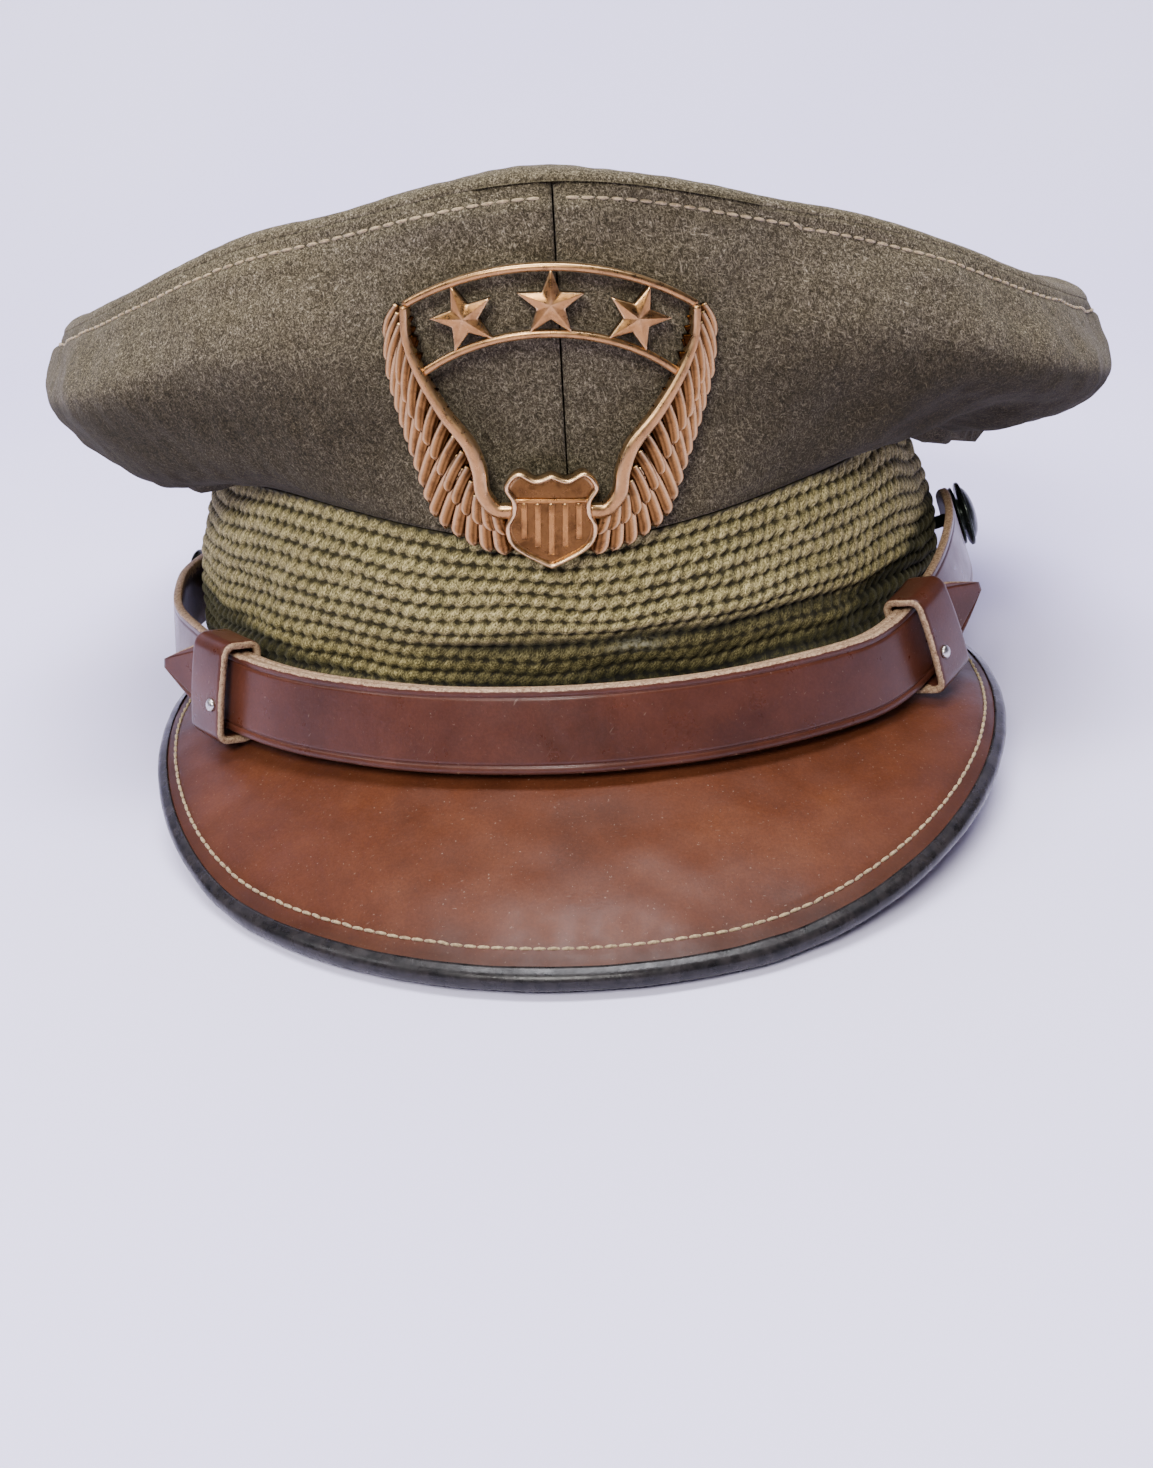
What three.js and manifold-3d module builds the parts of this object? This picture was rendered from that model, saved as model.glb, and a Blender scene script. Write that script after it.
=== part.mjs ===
// A peaked uniform cap: wool cloth crown, braided band, leather peak with a bound edge, a front strap
// of two leather layers held by two keepers, side buttons and a pierced bronze badge with wings.
// It rests as it would on a table, on the edge of its peak and the back of its band.
// Lengths are millimetres. In the cap's own frame +X is the wearer's left, -Y the front and +Z up,
// with the origin at the middle of the head opening. Angles go round the head oval from the front,
// positive towards +X.
import * as THREE from "three";
import { mergeVertices } from "three/addons/utils/BufferGeometryUtils.js";
import Module from "manifold-3d";

const wasm = await Module();
wasm.setup();

// Driving dimensions of the band and the head oval
const BAND_BOTTOM_HALF_WIDTH = 88;
const BAND_BOTTOM_HALF_LENGTH = 106;
const BAND_TOP_HALF_WIDTH = 81;
const BAND_TOP_HALF_LENGTH = 102;
const BAND_HEIGHT = 46;
const BAND_FRONT_DIP = 8;
const BAND_DIP_SPAN = 50;
const BAND_WALL = 3;
const BAND_FOLD_DEPTH = 3.2;
const BAND_FOLD_SPAN = 62;
const BAND_FOLD_CENTRE = 8;
const BAND_BULGE = 2.7;

// Driving dimensions of the crown
const CLOTH = 2;
const CROWN_OVERHANG = 46;
const CROWN_RISE = 65;
const CROWN_PUFF = 7;
const CROWN_MIDDLE_RISE = 44;
const SEAM_GAP = 0.3;

// Driving dimensions of the peak and its bound edge
const PEAK_HALF_WIDTH = 90;
const PEAK_REACH = 48;
const PEAK_WIDEST_BACK = 58;
const PEAK_WALL = 3;
const PEAK_ROOT_SPAN = 74;
const PEAK_EDGE_SPAN = 112;
const PEAK_DROP = 26;
const PEAK_END_DROP = 1.6;
const PEAK_CAMBER = 3;
const PEAK_FLAT_LEFT = 0.14;
const PEAK_FLAT_RIGHT = 0.4;
const BINDING_WIDTH = 2.4;
const BINDING_HEIGHT = 5;
const BINDING_LAP = 1.4;

// Driving dimensions of the strap, its keepers, rivets and buttons
const STRAP_WIDTH = 16.4;
const STRAP_LEATHER = 1.8;
const STRAP_END = 5;
const STRAP_LAYER_GAP = 0.4;
const STRAP_LEAN = 8;
const STRAP_FOOT = 0.8;
const STRAP_STANDOFF = 7;
const KEEPER_ANGLE = 47;
const KEEPER_LENGTH = 11;
const KEEPER_LEATHER = 1.5;
const KEEPER_SLACK = 2.2;
const KEEPER_MARGIN = 1.2;
const STRAP_TIP_LENGTH = 13.5;
const STRAP_TIP_SPLAY = 14;
const RIVET_RADIUS = 1.4;
const RIVET_FORWARD = 3;
const RIVET_DOME = 0.7;
const BUTTON_RADIUS = 7.6;
const BUTTON_DOME = 3.4;
const BUTTON_SHANK_RADIUS = 1.5;

// Driving dimensions of the badge and the screw that holds it
const BADGE_BEND_RADIUS = 82;
const BADGE_PLATE = 1.4;
const BADGE_RELIEF = 1.1;
const BADGE_STANDOFF = 2.4;
const BADGE_RISE = 62;
const BADGE_SHIFT = -2.5;
const BADGE_TURN = 3;
const BADGE_SCALE = 0.95;
const SCREW_RADIUS = 2;
const SCREW_NUT_RADIUS = 7;
const SCREW_NUT_THICKNESS = 2;

// A vent in the underside of the crown's overhang
const VENT_ANGLE = 76;
const VENT_SHARE = 0.34;
const VENT_RADIUS = 2.6;

const GAP = 0.3;
const ROUND = 54;

const rad = THREE.MathUtils.degToRad;
const vec = (x, y, z) => new THREE.Vector3(x, y, z);
const UP = vec(0, 0, 1);

// Sections of the crown's side, one each 30 degrees. "out" and "up" are measured from the band's top
// edge, as shares of CROWN_OVERHANG and CROWN_RISE: the belly is the underside's lowest point, the
// bulge its widest, and the seam is where the side meets the top.
const CROWN_SECTIONS = [
  { angle: -180, bellyOut: 0.39, bellyUp: 0.02, bulgeOut: 0.83, bulgeUp: 0.26, seamOut: 0.7, seamUp: 0.49 },
  { angle: -150, bellyOut: 0.41, bellyUp: 0, bulgeOut: 0.83, bulgeUp: 0.25, seamOut: 0.72, seamUp: 0.48 },
  { angle: -120, bellyOut: 0.4, bellyUp: -0.02, bulgeOut: 0.83, bulgeUp: 0.23, seamOut: 0.72, seamUp: 0.46 },
  { angle: -90, bellyOut: 0.41, bellyUp: 0, bulgeOut: 0.8, bulgeUp: 0.23, seamOut: 0.72, seamUp: 0.45 },
  { angle: -60, bellyOut: 0.35, bellyUp: 0.02, bulgeOut: 0.72, bulgeUp: 0.29, seamOut: 0.59, seamUp: 0.55 },
  { angle: -30, bellyOut: 0.11, bellyUp: 0.18, bulgeOut: 0.28, bulgeUp: 0.49, seamOut: 0.26, seamUp: 0.82 },
  { angle: 0, bellyOut: 0.07, bellyUp: 0.31, bulgeOut: 0.15, bulgeUp: 0.65, seamOut: 0.2, seamUp: 1 },
  { angle: 30, bellyOut: 0.11, bellyUp: 0.18, bulgeOut: 0.28, bulgeUp: 0.48, seamOut: 0.3, seamUp: 0.79 },
  { angle: 60, bellyOut: 0.41, bellyUp: 0.02, bulgeOut: 0.87, bulgeUp: 0.22, seamOut: 0.74, seamUp: 0.48 },
  { angle: 90, bellyOut: 0.48, bellyUp: -0.03, bulgeOut: 1, bulgeUp: 0.11, seamOut: 0.93, seamUp: 0.37 },
  { angle: 120, bellyOut: 0.46, bellyUp: -0.03, bulgeOut: 0.93, bulgeUp: 0.17, seamOut: 0.8, seamUp: 0.4 },
  { angle: 150, bellyOut: 0.41, bellyUp: -0.02, bulgeOut: 0.85, bulgeUp: 0.23, seamOut: 0.72, seamUp: 0.45 },
];

// The band's front fold, by share of the band's height: how far the braid stands out of its plain
// cone there, as a share of BAND_FOLD_DEPTH.
const BAND_FOLDS = [
  { rise: 0, out: 0.9 },
  { rise: 0.14, out: 0.6 },
  { rise: 0.28, out: -1 },
  { rise: 0.46, out: 0.1 },
  { rise: 0.72, out: 0.5 },
  { rise: 1, out: 0 },
];

// Where the strap leaves the peak on each side of the wearer, and where its button is.
const STRAP_SIDES = {
  left: { climbsFrom: 34, buttonAngle: 79, buttonRise: 0.5, buttonLean: 16 },
  right: { climbsFrom: 10, buttonAngle: 96, buttonRise: 0.26, buttonLean: 4 },
};

// How far the strap's inner face stands off the band, by angle from the front, as a share of
// STRAP_STANDOFF.
const STRAP_ROWS = [
  { angle: 0, off: 1 },
  { angle: 25, off: 1 },
  { angle: 45, off: 1.22 },
  { angle: 62, off: 1.3 },
  { angle: 80, off: 0.9 },
  { angle: 100, off: 0.52 },
];

// Uniform Catmull-Rom through four values, between the middle two.
function catmull(a, b, c, d, t) {
  const t2 = t * t;
  const t3 = t2 * t;
  return 0.5 * (2 * b + (c - a) * t + (2 * a - 5 * b + 4 * c - d) * t2 + (3 * b - a - 3 * c + d) * t3);
}

function smooth(t) {
  const s = THREE.MathUtils.clamp(t, 0, 1);
  return s * s * (3 - 2 * s);
}

// A column of the crown's table at any angle, going smoothly all the way round.
function crownColumn(name, angle) {
  const count = CROWN_SECTIONS.length;
  const place = ((angle + 180) / 360) * count;
  const first = Math.floor(place);
  const at = (k) => CROWN_SECTIONS[(((first + k) % count) + count) % count][name];
  return catmull(at(-1), at(0), at(1), at(2), place - first);
}

// A column of a short table whose rows are in order of key, by a smooth curve held at both ends.
function tableColumn(rows, key, name, value) {
  const last = rows.length - 1;
  const held = THREE.MathUtils.clamp(value, rows[0][key], rows[last][key]);
  let i = 0;
  while (i < last - 1 && held > rows[i + 1][key]) i += 1;
  const t = (held - rows[i][key]) / (rows[i + 1][key] - rows[i][key]);
  const at = (k) => rows[THREE.MathUtils.clamp(i + k, 0, last)][name];
  return catmull(at(-1), at(0), at(1), at(2), t);
}

// The head oval at a share of the band's height, and the way out from it.
function ovalPoint(angle, rise, out = 0) {
  const w = THREE.MathUtils.lerp(BAND_BOTTOM_HALF_WIDTH, BAND_TOP_HALF_WIDTH, rise);
  const l = THREE.MathUtils.lerp(BAND_BOTTOM_HALF_LENGTH, BAND_TOP_HALF_LENGTH, rise);
  const s = Math.sin(rad(angle));
  const c = Math.cos(rad(angle));
  return vec(w * s, -l * c, rise * bandTop(angle)).addScaledVector(outward(angle), out);
}

// The band's top edge dips under the badge at the front.
function bandTop(angle) {
  return BAND_HEIGHT - BAND_FRONT_DIP * smooth(1 - Math.abs(angle) / BAND_DIP_SPAN);
}

function outward(angle) {
  const x = Math.sin(rad(angle)) / BAND_TOP_HALF_WIDTH;
  const y = -Math.cos(rad(angle)) / BAND_TOP_HALF_LENGTH;
  return vec(x, y, 0).normalize();
}

// How far the braid stands out of its plain cone: its folds in front and its fullness elsewhere.
function bandSwell(angle, rise) {
  const near = smooth(1 - Math.abs(angle - BAND_FOLD_CENTRE) / BAND_FOLD_SPAN);
  const fold = BAND_FOLD_DEPTH * tableColumn(BAND_FOLDS, "rise", "out", rise);
  return THREE.MathUtils.lerp(BAND_BULGE * Math.sin(Math.PI * rise), fold, near);
}

function bandPoint(angle, rise) {
  return ovalPoint(angle, rise, bandSwell(angle, rise));
}

// The outside of the crown's side: share 0 at the band's top edge, 1 at the seam with the top.
function crownSidePoint(angle, share) {
  const column = (name) => crownColumn(name, angle);
  const path = new THREE.CatmullRomCurve3([
    vec(0, 0, 0),
    vec(column("bellyOut") * CROWN_OVERHANG, column("bellyUp") * CROWN_RISE, 0),
    vec(column("bulgeOut") * CROWN_OVERHANG, column("bulgeUp") * CROWN_RISE, 0),
    vec(column("seamOut") * CROWN_OVERHANG, column("seamUp") * CROWN_RISE, 0),
  ]);
  const p = path.getPoint(share);
  return ovalPoint(angle, 1, p.x).addScaledVector(UP, p.y + GAP);
}

// The way the side arrives at its seam with the top.
function seamDirection(angle) {
  return crownSidePoint(angle, 1).sub(crownSidePoint(angle, 0.97)).normalize();
}

// The inside of the crown's side. Its foot lies flat on the band's top edge.
function crownSideInside(angle, share) {
  if (share === 0) return ovalPoint(angle, 1, -CLOTH).addScaledVector(UP, GAP);
  const outside = crownSidePoint(angle, share).setZ(0);
  return offSurface(crownSidePoint, angle, share, 1, 0.01, outside, -CLOTH);
}

// The outside of the crown's top: share 0 at the seam, 1 at the middle. It leaves the seam the way
// the side arrives there, and turns over into the slack top.
function crownTopPoint(angle, share) {
  const seam = crownSidePoint(angle, 1);
  const along = seamDirection(angle);
  const middle = vec(0, 0, BAND_HEIGHT + CROWN_MIDDLE_RISE);
  const start = seam.addScaledVector(along, SEAM_GAP);
  const lift = start.clone().addScaledVector(along, CROWN_PUFF);
  const slack = start.clone().lerp(middle, 0.45);
  slack.z = THREE.MathUtils.lerp(start.z, middle.z, 0.6);
  return new THREE.CubicBezierCurve3(start, lift, slack, middle).getPoint(share);
}

// A point moved off its surface by a distance along the surface's normal. The surface is given as a
// function of two values, and outside tells which way is out.
function offSurface(surface, u, v, stepU, stepV, outside, distance) {
  const du = surface(u + stepU, v).sub(surface(u - stepU, v));
  const dv = surface(u, Math.min(v + stepV, 1)).sub(surface(u, Math.max(v - stepV, 0)));
  const normal = du.cross(dv).normalize();
  if (normal.dot(outside) < 0) normal.negate();
  return surface(u, v).addScaledVector(normal, distance);
}

// A closed mesh from a list of points and triangles, turned to face out whichever way it was listed.
function closedGeometry(points, triangles) {
  let volume = 0;
  for (const [a, b, c] of triangles) volume += points[a].dot(points[b].clone().cross(points[c]));
  const order = volume < 0 ? ([a, b, c]) => [a, c, b] : (t) => t;
  const geometry = new THREE.BufferGeometry();
  geometry.setAttribute(
    "position",
    new THREE.Float32BufferAttribute(points.flatMap((p) => [p.x, p.y, p.z]), 3),
  );
  geometry.setIndex(triangles.flatMap(order));
  geometry.computeVertexNormals();
  return geometry;
}

// A wall between two sheets of points of the same size, each a list of rows. With wrap, each row
// closes on itself. The sheets are joined all round their edges.
function wallGeometry(outer, inner, wrap) {
  const rows = outer.length;
  const columns = outer[0].length;
  const points = [...outer.flat(), ...inner.flat()];
  const half = rows * columns;
  const at = (i, j) => i * columns + (j % columns);
  const triangles = [];
  const quad = (a, b, c, d) => triangles.push([a, b, c], [a, c, d]);
  const spans = wrap ? columns : columns - 1;
  for (let i = 0; i < rows - 1; i += 1)
    for (let j = 0; j < spans; j += 1) {
      quad(at(i, j), at(i, j + 1), at(i + 1, j + 1), at(i + 1, j));
      quad(half + at(i, j), half + at(i + 1, j), half + at(i + 1, j + 1), half + at(i, j + 1));
    }
  for (let j = 0; j < spans; j += 1) {
    quad(at(0, j + 1), at(0, j), half + at(0, j), half + at(0, j + 1));
    quad(at(rows - 1, j), at(rows - 1, j + 1), half + at(rows - 1, j + 1), half + at(rows - 1, j));
  }
  if (!wrap)
    for (let i = 0; i < rows - 1; i += 1) {
      quad(at(i, 0), at(i + 1, 0), half + at(i + 1, 0), half + at(i, 0));
      const end = columns - 1;
      quad(at(i + 1, end), at(i, end), half + at(i, end), half + at(i + 1, end));
    }
  return closedGeometry(points, triangles);
}

// A round sheet: rings of points from the rim inwards, each closed, and a middle point.
function discGeometry(upper, upperMiddle, lower, lowerMiddle) {
  const rings = upper.length;
  const spokes = upper[0].length;
  const points = [...upper.flat(), ...lower.flat(), upperMiddle, lowerMiddle];
  const half = rings * spokes;
  const at = (i, j) => i * spokes + (j % spokes);
  const triangles = [];
  const quad = (a, b, c, d) => triangles.push([a, b, c], [a, c, d]);
  for (let j = 0; j < spokes; j += 1) {
    for (let i = 0; i < rings - 1; i += 1) {
      quad(at(i, j), at(i, j + 1), at(i + 1, j + 1), at(i + 1, j));
      quad(half + at(i, j), half + at(i + 1, j), half + at(i + 1, j + 1), half + at(i, j + 1));
    }
    quad(at(0, j + 1), at(0, j), half + at(0, j), half + at(0, j + 1));
    triangles.push([at(rings - 1, j), at(rings - 1, j + 1), 2 * half]);
    triangles.push([half + at(rings - 1, j + 1), half + at(rings - 1, j), 2 * half + 1]);
  }
  return closedGeometry(points, triangles);
}

// The triangles that fill a flat outline of [x, y] corners, turned the way the outline runs.
function flatTriangles(outline) {
  const contour = outline.map(([x, y]) => new THREE.Vector2(x, y));
  const triangles = THREE.ShapeUtils.triangulateShape(contour, []);
  const area = (corners) => THREE.ShapeUtils.area(corners.map((k) => contour[k]));
  const filled = triangles.reduce((sum, corners) => sum + area(corners), 0);
  const same = filled > 0 === THREE.ShapeUtils.area(contour) > 0;
  return same ? triangles : triangles.map(([a, b, c]) => [a, c, b]);
}

// A solid swept along frames. Each frame is { origin, across, out }, and section(i) lists its corners
// as [across, out] pairs. With a hole, each section's inner corners make a closed tunnel.
function sweepGeometry(frames, section, hole) {
  const place = (frame, [a, o]) =>
    frame.origin.clone().addScaledVector(frame.across, a).addScaledVector(frame.out, o);
  const outer = frames.map((frame, i) => section(i).map((corner) => place(frame, corner)));
  if (hole) {
    const inner = frames.map((frame, i) => hole(i).map((corner) => place(frame, corner)));
    return wallGeometry(outer, inner, true);
  }
  const corners = outer[0].length;
  const points = outer.flat();
  const triangles = [];
  for (let i = 0; i < outer.length - 1; i += 1)
    for (let j = 0; j < corners; j += 1) {
      const a = i * corners + j;
      const b = i * corners + ((j + 1) % corners);
      triangles.push([a, b, b + corners], [a, b + corners, a + corners]);
    }
  const last = (outer.length - 1) * corners;
  for (const [a, b, c] of flatTriangles(section(0))) triangles.push([a, c, b]);
  for (const [a, b, c] of flatTriangles(section(outer.length - 1))) {
    triangles.push([last + a, last + b, last + c]);
  }
  return closedGeometry(points, triangles);
}

// Booleans on closed meshes
function toSolid(geometry) {
  const bare = new THREE.BufferGeometry();
  bare.setAttribute("position", geometry.getAttribute("position"));
  if (geometry.index) bare.setIndex(geometry.index);
  const merged = mergeVertices(bare, 1e-4);
  return new wasm.Manifold(
    new wasm.Mesh({
      numProp: 3,
      vertProperties: new Float32Array(merged.getAttribute("position").array),
      triVerts: new Uint32Array(merged.index.array),
    }),
  );
}

function toGeometry(solid) {
  const mesh = solid.getMesh();
  const geometry = new THREE.BufferGeometry();
  geometry.setAttribute("position", new THREE.BufferAttribute(new Float32Array(mesh.vertProperties), 3));
  geometry.setIndex(new THREE.BufferAttribute(new Uint32Array(mesh.triVerts), 1));
  geometry.computeVertexNormals();
  return geometry;
}

function cut(geometry, ...tools) {
  return toGeometry(tools.reduce((left, tool) => left.subtract(toSolid(tool)), toSolid(geometry)));
}

function join(geometries) {
  return toGeometry(geometries.map(toSolid).reduce((all, one) => all.add(one)));
}

// A cylinder between two points.
function rod(from, to, radius, sides) {
  const geometry = new THREE.CylinderGeometry(radius, radius, from.distanceTo(to), sides);
  const turn = new THREE.Quaternion().setFromUnitVectors(vec(0, 1, 0), to.clone().sub(from).normalize());
  geometry.applyQuaternion(turn);
  const middle = from.clone().lerp(to, 0.5);
  return geometry.translate(middle.x, middle.y, middle.z);
}

// Turns a profile of [radius, height] pairs about an axis that starts at base and points along out.
function turned(profile, sides, base, out) {
  const geometry = new THREE.LatheGeometry(
    profile.map(([r, h]) => new THREE.Vector2(r, h)),
    sides,
  );
  geometry.applyQuaternion(new THREE.Quaternion().setFromUnitVectors(vec(0, 1, 0), out));
  geometry.translate(base.x, base.y, base.z);
  return geometry;
}

// Where the badge sits: its frame's origin on the crown's front, x along the cap, y up the crown.
function badgeFrame() {
  const share = 0.5;
  const here = crownSidePoint(0, share);
  const upward = crownSidePoint(0, 0.9).sub(crownSidePoint(0, 0.08)).normalize();
  const across = vec(1, 0, 0);
  const out = across.clone().cross(upward).negate();
  if (out.y > 0) out.negate();
  const slope = upward.z;
  const rise = (BADGE_RISE - here.z) / slope;
  const origin = here.addScaledVector(upward, rise).addScaledVector(out, BADGE_STANDOFF);
  origin.x += BADGE_SHIFT;
  const basis = new THREE.Matrix4().makeBasis(across, upward, across.clone().cross(upward));
  return { origin, upward, out, basis };
}

const badge = badgeFrame();

function badgePlacement() {
  return new THREE.Matrix4()
    .makeTranslation(badge.origin.x, badge.origin.y, badge.origin.z)
    .multiply(badge.basis)
    .multiply(new THREE.Matrix4().makeRotationZ(-rad(BADGE_TURN)));
}

// The screw's axis goes through the middle of the badge's shield.
const SHIELD_MIDDLE = { x: 0, y: -18.5 };
const SHIELD_HALF_WIDTH = 9;
const SHIELD_HALF_HEIGHT = 10.5;

function screwAxis() {
  const start = vec(SHIELD_MIDDLE.x, SHIELD_MIDDLE.y * BADGE_SCALE, 0).applyMatrix4(badgePlacement());
  return { start, out: badge.out.clone() };
}

function crownSideGeometry(side) {
  const stations = [0, 0.12, 0.24, 0.36, 0.48, 0.6, 0.72, 0.86, 1];
  const half = ROUND / 2;
  const seamAngle = (SEAM_GAP / 2 / BAND_TOP_HALF_WIDTH) * (180 / Math.PI);
  const angles = Array.from({ length: half + 1 }, (_, j) => {
    const angle = (j / half) * 180;
    return side * THREE.MathUtils.clamp(angle, seamAngle, 180 - seamAngle);
  });
  const outer = stations.map((s) => angles.map((a) => crownSidePoint(a, s)));
  const inner = stations.map((s) => angles.map((a) => crownSideInside(a, s)));
  const wall = wallGeometry(outer, inner, false);
  const { start, out } = screwAxis();
  const hole = rod(
    start.clone().addScaledVector(out, 8),
    start.clone().addScaledVector(out, -16),
    SCREW_RADIUS + GAP,
    12,
  );
  return cut(wall, hole);
}

function crownTopGeometry() {
  const shares = [0, 0.12, 0.22, 0.38, 0.66];
  const angles = Array.from({ length: ROUND }, (_, j) => (j / ROUND) * 360 - 180);
  const upper = shares.map((s) => angles.map((a) => crownTopPoint(a, s)));
  const lower = shares.map((s) =>
    angles.map((a) => {
      if (s === 0) return crownSideInside(a, 1).addScaledVector(seamDirection(a), SEAM_GAP);
      return offSurface(crownTopPoint, a, s, 1, 0.01, UP, -CLOTH);
    }),
  );
  const middle = crownTopPoint(0, 1);
  return discGeometry(upper, middle, lower, middle.clone().addScaledVector(UP, -CLOTH));
}

function bandGeometry() {
  const rises = BAND_FOLDS.map((row) => row.rise);
  const angles = Array.from({ length: ROUND }, (_, j) => (j / ROUND) * 360 - 180);
  const outer = rises.map((r) => angles.map((a) => bandPoint(a, r)));
  const inner = rises.map((r) => angles.map((a) => bandPoint(a, r).addScaledVector(outward(a), -BAND_WALL)));
  return wallGeometry(outer, inner, true);
}

// The peak's outer edge in plan is part of an ellipse, and it lies in the plane that the cap rests
// on, apart from its ends, which rise to meet the band.
function peakEdge(u) {
  const turn = rad(u * PEAK_EDGE_SPAN);
  const front = -(BAND_BOTTOM_HALF_LENGTH + PEAK_REACH);
  const y = -PEAK_WIDEST_BACK + (front + PEAK_WIDEST_BACK) * Math.cos(turn);
  const restShare = (BAND_BOTTOM_HALF_LENGTH - y) / (BAND_BOTTOM_HALF_LENGTH - front);
  const flat = u > 0 ? PEAK_FLAT_LEFT : PEAK_FLAT_RIGHT;
  const rising = 1 - smooth((Math.abs(u) - flat) / (1 - flat));
  return vec(PEAK_HALF_WIDTH * Math.sin(turn), y, -PEAK_DROP * restShare * rising - PEAK_END_DROP);
}

function peakRoot(u) {
  const root = ovalPoint(u * PEAK_ROOT_SPAN, 0, -BAND_WALL);
  return root.setZ(-GAP);
}

// The top of the peak: u runs from end to end, share from the band to the edge.
function peakPoint(u, share) {
  const root = peakRoot(u);
  const edge = peakEdge(u);
  const point = root.clone().lerp(edge, share);
  const camber = PEAK_CAMBER * Math.sin(Math.PI * share) * Math.cos((Math.PI / 2) * u);
  const seat = BAND_WALL / Math.max(root.distanceTo(edge), BAND_WALL * 1.5);
  const clear = smooth((share - seat) / Math.max(1 - seat, 0.1));
  point.z = THREE.MathUtils.lerp(root.z, edge.z, Math.max(0, (share - seat) / (1 - seat)));
  return point.addScaledVector(UP, camber * clear);
}

const PEAK_SHARES = [0, 0.12, 0.3, 0.5, 0.75, 1];
const PEAK_STEPS = 36;
const peakStations = Array.from({ length: PEAK_STEPS + 1 }, (_, j) => (2 * j) / PEAK_STEPS - 1);

function peakOff(u, share, distance) {
  return offSurface(peakPoint, u, share, 0.01, 0.02, UP, distance);
}

function peakGeometry() {
  const top = PEAK_SHARES.map((s) => peakStations.map((u) => peakPoint(u, s)));
  const under = PEAK_SHARES.map((s) => peakStations.map((u) => peakOff(u, s, -PEAK_WALL)));
  return wallGeometry(top, under, false);
}

function bindingGeometry() {
  const frames = peakStations.map((u) => {
    const along = peakEdge(Math.min(u + 0.01, 1)).sub(peakEdge(Math.max(u - 0.01, -1))).normalize();
    const across = peakPoint(u, 1).sub(peakOff(u, 1, -PEAK_WALL)).normalize();
    const out = along.clone().cross(across).normalize();
    const origin = peakOff(u, 1, -PEAK_WALL / 2).addScaledVector(out, GAP);
    return { origin, across, out };
  });
  const h = BINDING_HEIGHT / 2;
  const w = BINDING_WIDTH;
  const slot = PEAK_WALL / 2 + GAP;
  const section = [
    [-h, -BINDING_LAP],
    [-h, 0.4 * w],
    [-0.55 * h, w],
    [0.55 * h, w],
    [h, 0.4 * w],
    [h, -BINDING_LAP],
    [slot, -BINDING_LAP],
    [slot, 0],
    [-slot, 0],
    [-slot, -BINDING_LAP],
  ];
  return sweepGeometry(frames, () => section);
}

// The height of the peak's top surface under a point that stands out from the band at an angle.
function peakTopAt(angle, out) {
  const u = THREE.MathUtils.clamp(angle / PEAK_ROOT_SPAN, -1, 1);
  const root = peakRoot(u);
  let share = 0;
  while (share < 1 && peakPoint(u, share).sub(root).setZ(0).length() < out + BAND_WALL) share += 0.01;
  return peakPoint(u, share).z;
}

function strapStandoff(side) {
  return STRAP_STANDOFF * tableColumn(STRAP_ROWS, "angle", "off", side);
}

// A frame of the strap at an angle: origin at the middle of the inner layer's inner face, across up
// its width and out from the cap. The strap stands on the peak in front and climbs to the buttons.
function strapOrigin(angle) {
  const side = Math.abs(angle);
  const { climbsFrom, buttonAngle, buttonRise } = strapSide(angle);
  const standoff = strapStandoff(side);
  const climb = smooth((side - climbsFrom) / (buttonAngle - climbsFrom));
  const foot = peakTopAt(Math.sign(angle) * Math.min(side, 58), standoff + 0.5) + STRAP_FOOT;
  const height = THREE.MathUtils.lerp(foot + STRAP_WIDTH / 2, buttonRise * BAND_HEIGHT, climb);
  return ovalPoint(angle, height / bandTop(angle), standoff);
}

function strapFrame(angle) {
  const along = strapOrigin(angle + 0.5).sub(strapOrigin(angle - 0.5)).normalize();
  const { buttonLean } = strapSide(angle);
  const lean = rad(THREE.MathUtils.lerp(STRAP_LEAN, buttonLean, smooth((Math.abs(angle) - 35) / 30)));
  const out = outward(angle).multiplyScalar(Math.cos(lean)).addScaledVector(UP, Math.sin(lean));
  const across = out.clone().cross(along).normalize();
  if (across.z < 0) across.negate();
  const straightOut = along.clone().cross(across).normalize();
  if (straightOut.dot(out) < 0) straightOut.negate();
  return { origin: strapOrigin(angle), across, out: straightOut };
}

function strapSide(angle) {
  return STRAP_SIDES[angle > 0 ? "left" : "right"];
}

const LAYER_STEP = STRAP_LEATHER + STRAP_LAYER_GAP;

function innerStrapGeometry(holes) {
  const steps = 56;
  const ends = [-1, 1].map((side) => side * (strapSide(side).buttonAngle + STRAP_END));
  const angles = Array.from({ length: steps + 1 }, (_, j) => THREE.MathUtils.lerp(...ends, j / steps));
  const frames = angles.map(strapFrame);
  const section = (i) => {
    const toEnd = Math.min(angles[i] - ends[0], ends[1] - angles[i]);
    const half = (STRAP_WIDTH / 2) * Math.min(1, 0.35 + 0.65 * Math.sqrt(Math.min(1, toEnd / 7)));
    return [
      [-half, 0],
      [half, 0],
      [half, STRAP_LEATHER],
      [-half, STRAP_LEATHER],
    ];
  };
  return cut(sweepGeometry(frames, section), ...holes);
}

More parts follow.
